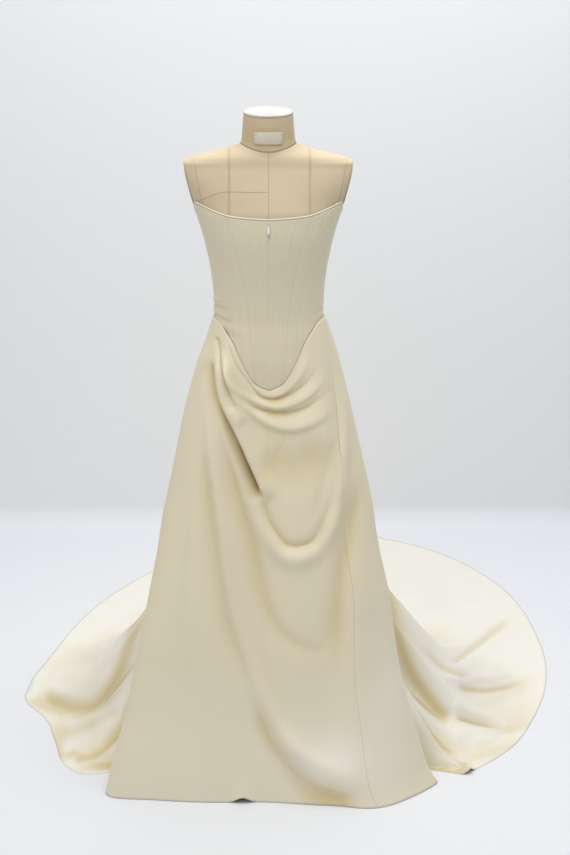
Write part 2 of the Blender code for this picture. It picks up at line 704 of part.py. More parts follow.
def arm_plate(name, normal, outline):
    """A flat plate that lies on the armhole, a little smaller than it."""
    centre = sum(outline, Vector()) / len(outline)
    near = [centre + (place - centre) * ARM_PLATE_SHARE + normal * SEAM_GAP for place in outline]
    far = [place + normal * ARM_PLATE_THICKNESS for place in near]
    shape = bmesh.new()
    low = [shape.verts.new(place) for place in near]
    high = [shape.verts.new(place) for place in far]
    shape.faces.new(low)
    shape.faces.new(high)
    for i in range(len(low)):
        k = (i + 1) % len(low)
        shape.faces.new((low[i], low[k], high[k], high[i]))
    add_object(name, mesh_from_bmesh(name, shape), "linen", LINEN)


def turned(name, profile, steps, material_name, finish):
    """A solid turned about Z from (radius, height) pairs, which run from its foot to its top."""
    shape = bmesh.new()
    turned_rings(shape, profile, steps)
    return add_object(name, mesh_from_bmesh(name, shape), material_name, finish)


def neck_ring(radius, height, tilt, steps=28):
    """A ring of the neck, tilted forward about its own middle."""
    places = []
    for i in range(steps):
        turn = 2 * math.pi * i / steps
        x, y = radius * math.sin(turn), -radius * math.cos(turn)
        places.append(Vector((x, y * math.cos(tilt), height + y * math.sin(tilt))))
    return places


def stacked_rings(name, rings, material_name, finish):
    shape = bmesh.new()
    made = [[shape.verts.new(place) for place in ring] for ring in rings]
    for low, high in zip(made, made[1:]):
        for i in range(len(low)):
            k = (i + 1) % len(low)
            shape.faces.new((low[i], low[k], high[k], high[i]))
    shape.faces.new(made[0][::-1])
    shape.faces.new(made[-1])
    return add_object(name, mesh_from_bmesh(name, shape), material_name, finish)


def neck_radius(height):
    low, high = NECK_BASE_HEIGHT, NECK_TOP_HEIGHT
    share = (height - low) / (high - low)
    flare = 0.0025 * max(0.0, 1 - share * 4) ** 2
    return NECK_BASE_RADIUS * 0.965 + (NECK_TOP_RADIUS - NECK_BASE_RADIUS * 0.965) * share + flare


def form_neck():
    heights = [NECK_BASE_HEIGHT + SEAM_GAP + rise for rise in (0.0, 0.006, 0.016, 0.036, 0.054)]
    rings = [neck_ring(neck_radius(height), height, 0.0) for height in heights]
    rings.append(neck_ring(NECK_TOP_RADIUS, NECK_TOP_HEIGHT - NECK_CAP_THICKNESS, NECK_TOP_TILT))
    stacked_rings("form_neck", rings, "linen", LINEN)
    foot = NECK_TOP_HEIGHT - NECK_CAP_THICKNESS + SEAM_GAP
    cap = [
        neck_ring(NECK_TOP_RADIUS * 0.99, foot, NECK_TOP_TILT),
        neck_ring(NECK_TOP_RADIUS * 1.015, foot + 0.0015, NECK_TOP_TILT),
        neck_ring(NECK_TOP_RADIUS * 1.015, foot + 0.0040, NECK_TOP_TILT),
        neck_ring(NECK_TOP_RADIUS * 0.95, foot + NECK_CAP_THICKNESS, NECK_TOP_TILT),
    ]
    stacked_rings("form_neck_cap", cap, "white_top", WHITE_TOP)


def name_plate():
    """The bare plate on the neck, bent round it."""
    half_turn = NAME_PLATE_SIZE[0] / 2 / neck_radius(NAME_PLATE_HEIGHT)
    turns = np.linspace(-half_turn, half_turn, 9)
    rises = (-NAME_PLATE_SIZE[1] / 2, NAME_PLATE_SIZE[1] / 2)
    grids = []
    for out in (SEAM_GAP, SEAM_GAP + NAME_PLATE_THICKNESS):
        rows = []
        for rise in rises:
            height = NAME_PLATE_HEIGHT + rise
            radius = neck_radius(height) + out
            rows.append([(radius * math.sin(turn), -radius * math.cos(turn), height) for turn in turns])
        grids.append(np.array(rows))
    cloth_panel("form_name_plate", grids[0], grids[1], "plate", PLATE)


def form_stand():
    """The board under the torso, the pole with its collar, and the round foot plate."""
    outline, _ = body_point(
        np.linspace(-180, 180, TORSO_COLUMNS + 1)[:-1],
        np.full(TORSO_COLUMNS, FORM_FOOT_HEIGHT),
    )
    board_top = FORM_FOOT_HEIGHT - SEAM_GAP
    rings = []
    for height in (board_top - BOARD_THICKNESS, board_top):
        rings.append([Vector((p[0] * 0.96, p[1] * 0.96, height)) for p in outline])
    stacked_rings("form_board", rings, "wood", WOOD)
    pole_top = board_top - BOARD_THICKNESS - SEAM_GAP
    pole_profile = [
        (POLE_RADIUS, STAND_BOSS_HEIGHT + SEAM_GAP),
        (POLE_RADIUS, pole_top - POLE_COLLAR_HEIGHT - 0.001),
        (POLE_COLLAR_RADIUS * 0.75, pole_top - POLE_COLLAR_HEIGHT),
        (POLE_COLLAR_RADIUS * 0.75, pole_top - 0.012),
        (POLE_COLLAR_RADIUS, pole_top - 0.008),
        (POLE_COLLAR_RADIUS, pole_top),
    ]
    turned("stand_pole", pole_profile, 24, "steel", STEEL)
    turned(
        "stand_plate",
        [
            (STAND_PLATE_RADIUS, 0),
            (STAND_PLATE_RADIUS, STAND_PLATE_THICKNESS * 0.7),
            (STAND_PLATE_RADIUS - 0.004, STAND_PLATE_THICKNESS),
            (STAND_BOSS_RADIUS + 0.012, STAND_PLATE_THICKNESS),
            (STAND_BOSS_RADIUS, STAND_PLATE_THICKNESS + 0.010),
            (STAND_BOSS_RADIUS * 0.85, STAND_BOSS_HEIGHT),
        ],
        40,
        "steel",
        STEEL,
    )


# Hard trims


def wire_ring(shape, radius, height, turn_steps=16, wire_steps=6):
    """A wire ring added in the XZ plane, with its middle at this height."""
    hoops = []
    for i in range(turn_steps):
        turn = 2 * math.pi * i / turn_steps
        hoop = []
        for k in range(wire_steps):
            wire = 2 * math.pi * k / wire_steps
            reach = radius + RING_WIRE * math.cos(wire)
            place = (reach * math.cos(turn), RING_WIRE * math.sin(wire), height + reach * math.sin(turn))
            hoop.append(shape.verts.new(place))
        hoops.append(hoop)
    for i in range(turn_steps):
        for k in range(wire_steps):
            a, b = hoops[i], hoops[(i + 1) % turn_steps]
            k2 = (k + 1) % wire_steps
            shape.faces.new((a[k], a[k2], b[k2], b[k]))


def turned_rings(shape, profile, steps):
    """A body turned about Z, added from (radius, height) pairs that run from its foot to its top."""
    rings = []
    for radius, height in profile:
        turn = [2 * math.pi * i / steps for i in range(steps)]
        rings.append([shape.verts.new((radius * math.cos(a), radius * math.sin(a), height)) for a in turn])
    for low, high in zip(rings, rings[1:]):
        for i in range(steps):
            k = (i + 1) % steps
            shape.faces.new((low[i], low[k], high[k], high[i]))
    shape.faces.new(rings[0][::-1])
    shape.faces.new(rings[-1])


def pendant():
    """A ring sewn under the neckline, and a long pearl that hangs on it by an eye, with a crystal below."""
    ring_height = float(edge_height(NECKLINE, 0)) - RING_DROP
    skin, _ = body_point(np.array([0.0]), np.array([ring_height]))
    cloth = float(skin[0][1]) - BODY_GAP - CLOTH_WALL
    y = cloth - SEAM_GAP - RING_WIRE - SEWN_RING_RADIUS
    shape = bmesh.new()
    wire_ring(shape, SEWN_RING_RADIUS, 0)
    ring = add_object("pendant_ring", mesh_from_bmesh("pendant_ring", shape), "steel", STEEL)
    ring.location = (0, y, ring_height)
    ring.rotation_euler = (0, 0, math.pi / 2)
    pivot = ring_height - SEWN_RING_RADIUS
    eye_middle = 2 * RING_WIRE + RING_PLAY - EYE_RADIUS
    pearl_top = eye_middle - EYE_RADIUS
    shape = bmesh.new()
    wire_ring(shape, EYE_RADIUS, eye_middle)
    eye = add_object("pendant_eye", mesh_from_bmesh("pendant_eye", shape), "steel", STEEL)
    eye.hide_render = True
    eye.display_type = "WIRE"
    shape = bmesh.new()
    profile = [(PEARL_RADIUS * share, pearl_top - PEARL_LENGTH * (1 - rise)) for rise, share in PEARL_PROFILE]
    turned_rings(shape, profile, 14)
    pearl = add_object("pendant_pearl", mesh_from_bmesh("pendant_pearl", shape), "pearl", PEARL, 80)
    join = pearl.modifiers.new("eye", "BOOLEAN")
    join.operation = "UNION"
    join.solver = "EXACT"
    join.object = eye
    for piece in (eye, pearl):
        piece.location = (0, y, pivot)
    crystal_top = pearl_top - PEARL_LENGTH - SEAM_GAP
    profile = [(CRYSTAL_RADIUS * share, crystal_top - CRYSTAL_LENGTH * (1 - rise)) for rise, share in CRYSTAL_PROFILE]
    shape = bmesh.new()
    turned_rings(shape, profile, 10)
    crystal = add_object("pendant_crystal", mesh_from_bmesh("pendant_crystal", shape), "crystal", CRYSTAL, 20)
    crystal.location = (0, y, pivot)


def centre_back(height):
    skin, _ = body_point(np.array([180.0]), np.array([height]))
    return skin[0][1] + BODY_GAP + CLOTH_WALL


def box_mesh(name, size):
    shape = bmesh.new()
    bmesh.ops.create_cube(shape, size=1.0)
    bmesh.ops.scale(shape, vec=size, verts=shape.verts)
    bmesh.ops.bevel(
        shape,
        geom=shape.edges,
        offset=min(size) * 0.22,
        segments=1,
        affect="EDGES",
    )
    return mesh_from_bmesh(name, shape)


def zip_closure():
    """The slider of the hidden zip at the top of the centre back, and its pull tab."""
    top = float(edge_height(NECKLINE, 180)) - SLIDER_DROP
    back = max(centre_back(top - SLIDER_SIZE[2] / 2), centre_back(top + SLIDER_SIZE[2] / 2))
    y = back + SEAM_GAP + SLIDER_SIZE[1] / 2 + 0.0002
    slider = add_object("zip_slider", box_mesh("zip_slider", SLIDER_SIZE), "zip", PLATE)
    slider.location = (0, y, top)
    tab_y = y + SLIDER_SIZE[1] / 2 + SEAM_GAP + TAB_THICKNESS / 2 + 0.0004
    shape = bmesh.new()
    outline = []
    for turn in np.linspace(0, math.pi, 7):
        outline.append((TAB_WIDTH / 2 * math.cos(turn), TAB_RISE * math.sin(turn)))
    for turn in np.linspace(math.pi, 2 * math.pi, 9):
        outline.append((TAB_WIDTH * 0.72 * math.cos(turn), -TAB_LENGTH + TAB_WIDTH * 0.72 * math.sin(turn)))
    sides = []
    for depth in (-TAB_THICKNESS / 2, TAB_THICKNESS / 2):
        sides.append([shape.verts.new((x, depth, z)) for x, z in outline])
    shape.faces.new(sides[0])
    shape.faces.new(sides[1])
    for i in range(len(outline)):
        k = (i + 1) % len(outline)
        shape.faces.new((sides[0][i], sides[0][k], sides[1][k], sides[1][i]))
    tab = add_object("zip_tab", mesh_from_bmesh("zip_tab", shape), "zip", PLATE)
    tab.location = (0, tab_y, top + SLIDER_SIZE[2] * 0.25)


def main():
    clear_scene()
    form_torso()
    form_neck()
    name_plate()
    form_stand()
    bodice()
    neckline_roll()
    skirt()
    pendant()
    zip_closure()


main()
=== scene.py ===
"""Strapless wedding dress on a dress form: its cloth, trims, form and stage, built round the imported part.

Units are metres, +Z is up and the wearer faces -Y. The origin is on the floor under the form's pole.
Angles round the body are in degrees from the centre front, positive towards +X.
"""

import math
from collections import namedtuple

import bmesh
import bpy
import numpy as np
from mathutils import Matrix, Vector


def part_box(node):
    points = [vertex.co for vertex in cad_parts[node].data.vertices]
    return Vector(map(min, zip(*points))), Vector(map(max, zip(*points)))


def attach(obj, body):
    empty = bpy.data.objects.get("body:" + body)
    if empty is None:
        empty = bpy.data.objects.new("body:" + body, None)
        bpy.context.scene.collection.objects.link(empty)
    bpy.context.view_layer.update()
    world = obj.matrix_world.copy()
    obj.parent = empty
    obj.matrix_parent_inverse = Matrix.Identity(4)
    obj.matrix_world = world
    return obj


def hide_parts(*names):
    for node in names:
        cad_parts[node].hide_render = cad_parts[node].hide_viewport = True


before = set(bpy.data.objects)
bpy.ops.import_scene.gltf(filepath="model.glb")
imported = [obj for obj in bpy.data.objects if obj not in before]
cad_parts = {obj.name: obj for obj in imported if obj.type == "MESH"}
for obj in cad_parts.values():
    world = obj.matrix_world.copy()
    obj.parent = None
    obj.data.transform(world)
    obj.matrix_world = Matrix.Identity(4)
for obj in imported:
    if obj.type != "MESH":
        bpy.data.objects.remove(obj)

bl_info = {
    "name": "Draped wedding dress on a form",
    "version": (1, 0, 0),
    "blender": (4, 5, 0),
    "location": "3D View > Sidebar > Dress",
    "description": "Builds a draped satin wedding dress with its dress form and a studio stage",
    "category": "Object",
}

# Cloth of the part, which each piece here lies on
CLOTH_WALL = 0.0022
BODY_GAP = 0.0020
SEAM_GAP = 0.0003
WAIST_LAP = 0.0012
WAIST_STAND_OFF = 0.0008

# Dress form
FORM_FOOT_HEIGHT = 0.770
NECK_BASE_HEIGHT = 1.449
NECK_TOP_HEIGHT = 1.521
NECK_BASE_RADIUS = 0.0635
NECK_TOP_RADIUS = 0.0560
NECK_TOP_TILT = math.radians(8.5)
NECK_CAP_THICKNESS = 0.006
BOARD_THICKNESS = 0.018
POLE_RADIUS = 0.016
POLE_COLLAR_RADIUS = 0.032
POLE_COLLAR_HEIGHT = 0.045
STAND_PLATE_RADIUS = 0.190
STAND_PLATE_THICKNESS = 0.012
STAND_BOSS_RADIUS = 0.030
STAND_BOSS_HEIGHT = 0.040
ARM_PLANE_POINT = (0.1665, 0.0, 1.300)
ARM_PLANE_LEAN = math.atan2(0.0275, 0.108)
ARM_PLATE_THICKNESS = 0.005
ARM_PLATE_SHARE = 0.90
NAME_PLATE_SIZE = (0.064, 0.027)
NAME_PLATE_THICKNESS = 0.0012
NAME_PLATE_HEIGHT = 1.463
NECK_SEAM_DIP = 0.017
# Painted shade on the neck's linen: darker and warmer, as under the cap
NECK_PAINTED_SHADE = (0.90, 0.87, 0.80)
PRINCESS_CORD_GAP = 0.0034
ARM_SEAM_INSET = (0.0215, 0.0125)
ARM_PLATE_SLIMMER = 0.0026

Section = namedtuple("Section", "height half_width front back square")
BODY = [
    Section(0.770, 0.136, 0.090, 0.104, 2.1),
    Section(0.860, 0.147, 0.101, 0.113, 2.1),
    Section(0.940, 0.144, 0.104, 0.108, 2.1),
    Section(1.000, 0.1330, 0.099, 0.095, 2.1),
    Section(1.060, 0.1238, 0.092, 0.084, 2.1),
    Section(1.110, 0.1255, 0.094, 0.086, 2.1),
    Section(1.160, 0.1310, 0.101, 0.091, 2.1),
    Section(1.205, 0.1390, 0.1095, 0.097, 2.15),
    Section(1.250, 0.1495, 0.1143, 0.102, 2.25),
    Section(1.290, 0.1625, 0.1136, 0.106, 2.25),
    Section(1.320, 0.1765, 0.103, 0.108, 2.2),
    Section(1.350, 0.1920, 0.091, 0.106, 2.2),
    Section(1.380, 0.2030, 0.079, 0.100, 2.1),
    Section(1.402, 0.2050, 0.071, 0.091, 2.0),
    Section(1.416, 0.1820, 0.0685, 0.083, 2.0),
    Section(1.430, 0.1280, 0.0665, 0.074, 2.0),
    Section(1.440, 0.0880, 0.0652, 0.067, 2.0),
    Section(1.449, 0.0645, 0.0640, 0.0642, 2.0),
]

# Heights of the bodice's two edges
Edge = namedtuple("Edge", "angle height")
NECKLINE = [
    Edge(0, 1.2860),
    Edge(27, 1.2915),
    Edge(42, 1.3005),
    Edge(56, 1.3115),
    Edge(66, 1.3170),
    Edge(75, 1.3060),
    Edge(90, 1.2830),
    Edge(110, 1.2620),
    Edge(140, 1.2360),
    Edge(180, 1.2220),
]
WAIST_SEAM = [
    Edge(0, 0.8930),
    Edge(11, 0.9075),
    Edge(18, 0.9310),
    Edge(24, 0.9560),
    Edge(30, 0.9800),
    Edge(36, 1.0010),
    Edge(47, 1.0240),
    Edge(62, 1.0450),
    Edge(90, 1.0520),
    Edge(130, 1.0450),
    Edge(180, 1.0300),
]

# Bodice seams, and the columns of the panel that ends at each
BodiceSeam = namedtuple("BodiceSeam", "panel low_angle top_angle columns")
BODICE_SEAMS = [
    BodiceSeam("side_front", 47, 63, 5),
    BodiceSeam("side", 90, 95, 4),
    BodiceSeam("side_back", 135, 139, 5),
    BodiceSeam("centre_back", 180, 180, 5),
]
PRINCESS_LOW, PRINCESS_TOP = 11, 33
CENTRE_FRONT_COLUMNS = 6

# Hem outline on the floor, as a distance from the pole
Hem = namedtuple("Hem", "angle reach")
HEM = [
    Hem(-158.5, 1.107),
    Hem(-147, 0.956),
    Hem(-130, 0.783),
    Hem(-109, 0.682),
    Hem(-102, 0.660),
    Hem(-94, 0.585),
    Hem(-80, 0.542),
    Hem(-67, 0.538),
    Hem(-57, 0.520),
    Hem(-47, 0.527),
    Hem(-36, 0.470),
    Hem(-20, 0.419),
    Hem(0, 0.395),
    Hem(18, 0.434),
    Hem(30, 0.488),
    Hem(43, 0.498),
    Hem(52, 0.505),
    Hem(62, 0.545),
    Hem(78, 0.616),
    Hem(92, 0.680),
    Hem(110, 0.807),
    Hem(126, 0.962),
    Hem(144, 1.212),
    Hem(156, 1.366),
    Hem(168, 1.451),
    Hem(177, 1.457),
    Hem(187, 1.345),
]

# Where a thread of the skirt leaves the waist seam, against where it meets the hem
Thread = namedtuple("Thread", "hem_angle waist_angle")
THREADS = [
    Thread(-184, -180),
    Thread(-140, -146),
    Thread(-100, -118),
    Thread(-66, -98),
    Thread(-51, -84),
    Thread(-43, -70),
    Thread(-20, -31),
    Thread(0, 2),
    Thread(18, 43),
    Thread(30, 80),
    Thread(52, 91),
    Thread(66, 100),
    Thread(100, 122),
    Thread(140, 150),
    Thread(176, 180),
]

# Skirt seams, and the columns of the panel that ends at each
SkirtSeam = namedtuple("SkirtSeam", "panel start end columns")
SKIRT_PANELS = [
    SkirtSeam("skirt_front", -53, 30, 31),
    SkirtSeam("skirt_side_front", 30, 57, 8),
    SkirtSeam("skirt_back_right", 57, 176, 16),
    SkirtSeam("skirt_back_left", -184, -92, 11),
    SkirtSeam("skirt_side_left", -92, -53, 8),
]

# How far down its threads the skirt's rows lie
RowBand = namedtuple("RowBand", "share rows")

# How far the cloth stands out from the waist seam at each height: where it runs out as the train, and at the
# two sides of the front, where it drops straight
Flare = namedtuple("Flare", "height train hip front_left front_right")
FLARE = [
    Flare(0.000, 0.590, 0.000, 0.000, 0.000),
    Flare(0.015, 0.530, 0.001, 0.000, -0.008),
    Flare(0.045, 0.460, 0.003, 0.000, -0.016),
    Flare(0.090, 0.405, 0.005, 0.000, -0.019),
    Flare(0.154, 0.335, 0.008, -0.004, -0.020),
    Flare(0.235, 0.262, 0.010, -0.002, -0.022),
    Flare(0.350, 0.180, 0.014, 0.002, -0.012),
    Flare(0.443, 0.138, 0.020, 0.002, -0.002),
    Flare(0.546, 0.098, 0.028, 0.001, -0.004),
    Flare(0.648, 0.066, 0.033, 0.002, 0.001),
    Flare(0.748, 0.045, 0.032, 0.007, 0.004),
    Flare(0.860, 0.024, 0.030, 0.012, 0.007),
    Flare(0.940, 0.012, 0.020, 0.011, 0.008),
    Flare(1.000, 0.005, 0.009, 0.004, 0.006),
    Flare(1.052, 0.000, 0.000, 0.000, 0.000),
]
LANDING_SHARE = 0.90
STRAIGHT_FROM, STRAIGHT_TO = (-50, 52), (-64, 66)

# Folds that fall from the hip to the hem: a valley where the lift is negative
Flute = namedtuple("Flute", "name top_angle hem_angle top_width hem_width start stop lift")
FLUTES = [
    Flute("left corner valley", -54, -54.5, 4.0, 4.6, 0.40, 2.0, -0.130),
    Flute("left low valley", -56, -67, 4.0, 4.5, 0.58, 0.93, -0.045),
    Flute("left side ridge", -75, -99.5, 8.0, 4.8, 0.32, 0.96, 0.010),
    Flute("left low swell", -62, -86, 5.0, 4.5, 0.50, 0.95, 0.018),
    Flute("left tip valley", -62, -93.5, 5.0, 3.6, 0.40, 0.97, -0.014),
    Flute("left floor fold", -112, -132, 7.0, 6.0, 0.50, 0.92, 0.016),
    Flute("right corner valley", 57, 56.2, 4.0, 2.7, 0.38, 2.0, -0.095),
    Flute("right hem arch", 60, 59.8, 3.0, 1.7, 0.68, 2.0, 0.034),
    Flute("right low valley", 60, 66, 3.5, 3.5, 0.62, 0.95, -0.024),
    Flute("right side valley", 68, 76, 5.0, 4.6, 0.40, 0.90, -0.058),
    Flute("right landing ridge", 78, 83, 4.5, 4.0, 0.45, 0.93, 0.018),
    Flute("right back fold", 124, 129, 6.0, 5.0, 0.45, 0.93, 0.024),
    Flute("back fold right", 148, 150, 7.0, 5.0, 0.18, 0.90, 0.028),
    Flute("back fold centre right", 168, 168, 6.0, 4.0, 0.15, 0.86, 0.026),
    Flute("back fold centre left", -172, -170, 6.0, 4.0, 0.15, 0.86, 0.026),
    Flute("back fold left", -148, -152, 8.0, 5.0, 0.18, 0.90, 0.030),
    Flute("left back fold", -126, -142, 7.0, 5.0, 0.30, 0.90, 0.022),
]

# Folds of the draped front, each a curve from the left hip across the front, seen from the front as (x, height),
# with its width above and below the line, its lift, and how far it rolls over its lower side
FOLD_STEPS = 28
FineFold = namedtuple("FineFold", "name hip flank low bend rise above below lift roll power start stop")
FINE_FOLDS = [
    FineFold("rolled edge", (-0.106, 1.02), (-0.06, 0.944), (0.009, 0.886), (0.06, 0.92), (0.094, 0.985), 0.01, 0.009, 0.0065, 0.001, 2.0, 0.1, 0.8),
    FineFold("edge crease", (-0.1, 1.012), (-0.058, 0.93), (-0.004, 0.877), (0.04, 0.886), (0.074, 0.925), 0.0034, 0.0038, -0.0055, 0.0, 1.6, 0.12, 0.66),
    FineFold("first hollow", (-0.092, 0.966), (-0.06, 0.906), (0.018, 0.874), (0.066, 0.896), (0.125, 0.960), 0.0075, 0.0065, -0.0055, 0.0, 1.6, 0.2, 0.60),
    FineFold("second cowl", (-0.099, 0.981), (-0.07, 0.912), (0.018, 0.862), (0.074, 0.880), (0.148, 0.938), 0.011, 0.0085, 0.0088, 0.003, 2.0, 0.15, 0.62),
    FineFold("second hollow", (-0.08, 0.915), (-0.03, 0.859), (0.022, 0.8455), (0.074, 0.854), (0.155, 0.905), 0.0075, 0.0085, -0.0062, 0.0, 1.7, 0.18, 0.60),
    FineFold("third cowl", (-0.105, 0.966), (-0.06, 0.876), (0.034, 0.818), (0.095, 0.828), (0.170, 0.870), 0.014, 0.011, 0.0098, 0.0035, 2.0, 0.15, 0.62),
    FineFold("third slack", (-0.03, 0.77), (0.01, 0.735), (0.05, 0.725), (0.09, 0.735), (0.15, 0.78), 0.045, 0.05, -0.010, 0.0, 2.0, 0.3, 0.7),
    FineFold("hip crease", (-0.121, 1.015), (-0.111, 0.975), (-0.098, 0.928), (-0.088, 0.897), (-0.0795, 0.872), 0.0045, 0.0055, -0.0085, 0.0, 1.4, 0.08, 0.75),
    FineFold("hip roll", (-0.110, 1.0), (-0.097, 0.965), (-0.084, 0.922), (-0.065, 0.858), (-0.054, 0.822), 0.009, 0.009, 0.0075, 0.001, 2.0, 0.15, 0.85),
    FineFold("pocket", (-0.072, 0.8), (-0.06, 0.766), (-0.047, 0.733), (-0.033, 0.698), (-0.017, 0.657), 0.0045, 0.0075, -0.018, 0.0, 1.6, 0.3, 0.75),
    FineFold("hip blob", (-0.088, 0.868), (-0.078, 0.848), (-0.07, 0.836), (-0.062, 0.826), (-0.056, 0.818), 0.012, 0.01, 0.0045, 0.0, 2.0, 0.3, 0.6),
    FineFold("inner pleat", (-0.118, 0.994), (-0.095, 0.946), (-0.072, 0.905), (-0.05, 0.878), (-0.03, 0.866), 0.005, 0.005, 0.004, 0.0, 2.0, 0.2, 0.7),
    FineFold("drape edge", (-0.119, 0.985), (-0.107, 0.885), (-0.069, 0.807), (-0.033, 0.726), (0.004, 0.646), 0.022, 0.0085, 0.0165, 0.0035, 2.0, 0.15, 0.88),
    FineFold("drape hollow", (-0.128, 0.965), (-0.118, 0.885), (-0.083, 0.808), (-0.047, 0.722), (-0.013, 0.652), 0.007, 0.016, -0.019, 0.0, 1.5, 0.12, 0.92),
    FineFold("deep cowl", (-0.034, 0.650), (-0.004, 0.572), (0.040, 0.529), (0.095, 0.538), (0.160, 0.655), 0.016, 0.018, 0.0095, 0.0, 2.0, 0.3, 0.75),
    FineFold("cowl shadow", (-0.019, 0.660), (0.010, 0.592), (0.045, 0.556), (0.090, 0.562), (0.150, 0.672), 0.011, 0.01, -0.0075, 0.0, 1.7, 0.1, 0.7),
    FineFold("foot swell", (0.0, 0.17), (0.06, 0.105), (0.12, 0.07), (0.18, 0.055), (0.235, 0.052), 0.055, 0.022, 0.0145, 0.0, 1.8, 0.3, 0.65),
    FineFold("left roll", (-0.124, 0.905), (-0.101, 0.797), (-0.071, 0.707), (-0.051, 0.637), (-0.029, 0.578), 0.01, 0.011, 0.006, 0.0, 2.0, 0.2, 0.7),
    FineFold("long hollow", (-0.118, 0.83), (-0.045, 0.575), (0.050, 0.347), (0.108, 0.330), (0.148, 0.48), 0.017, 0.022, -0.0125, 0.0, 1.8, 0.22, 0.40),
    FineFold("long ridge", (-0.148, 0.918), (-0.113, 0.63), (-0.056, 0.339), (0.052, 0.128), (0.235, 0.05), 0.016, 0.018, 0.0095, 0.002, 2.0, 0.2, 0.8),
    FineFold("side hollow", (-0.157, 0.798), (-0.143, 0.67), (-0.127, 0.549), (-0.102, 0.402), (-0.05, 0.24), 0.018, 0.02, -0.0075, 0.0, 2.0, 0.25, 0.75),
    FineFold("outer ridge", (-0.17, 0.88), (-0.172, 0.73), (-0.175, 0.56), (-0.18, 0.4), (-0.19, 0.22), 0.022, 0.024, 0.005, 0.0, 2.0, 0.3, 0.7),
    FineFold("foot hollow", (-0.04, 0.235), (-0.01, 0.15), (0.035, 0.085), (0.09, 0.04), (0.216, 0.012), 0.018, 0.02, -0.0095, 0.0, 1.9, 0.25, 0.85),
    FineFold("right edge", (0.168, 0.916), (0.178, 0.832), (0.172, 0.739), (0.158, 0.644), (0.141, 0.549), 0.014, 0.012, 0.0075, 0.0, 2.0, 0.18, 0.8),
    FineFold("right hollow", (0.201, 0.702), (0.197, 0.636), (0.184, 0.568), (0.165, 0.475), (0.158, 0.25), 0.022, 0.026, -0.012, 0.0, 2.0, 0.2, 0.7),
    FineFold("right slant", (0.15, 0.8), (0.14, 0.74), (0.125, 0.69), (0.108, 0.64), (0.09, 0.6), 0.012, 0.012, -0.003, 0.0, 2.0, 0.25, 0.7),
]

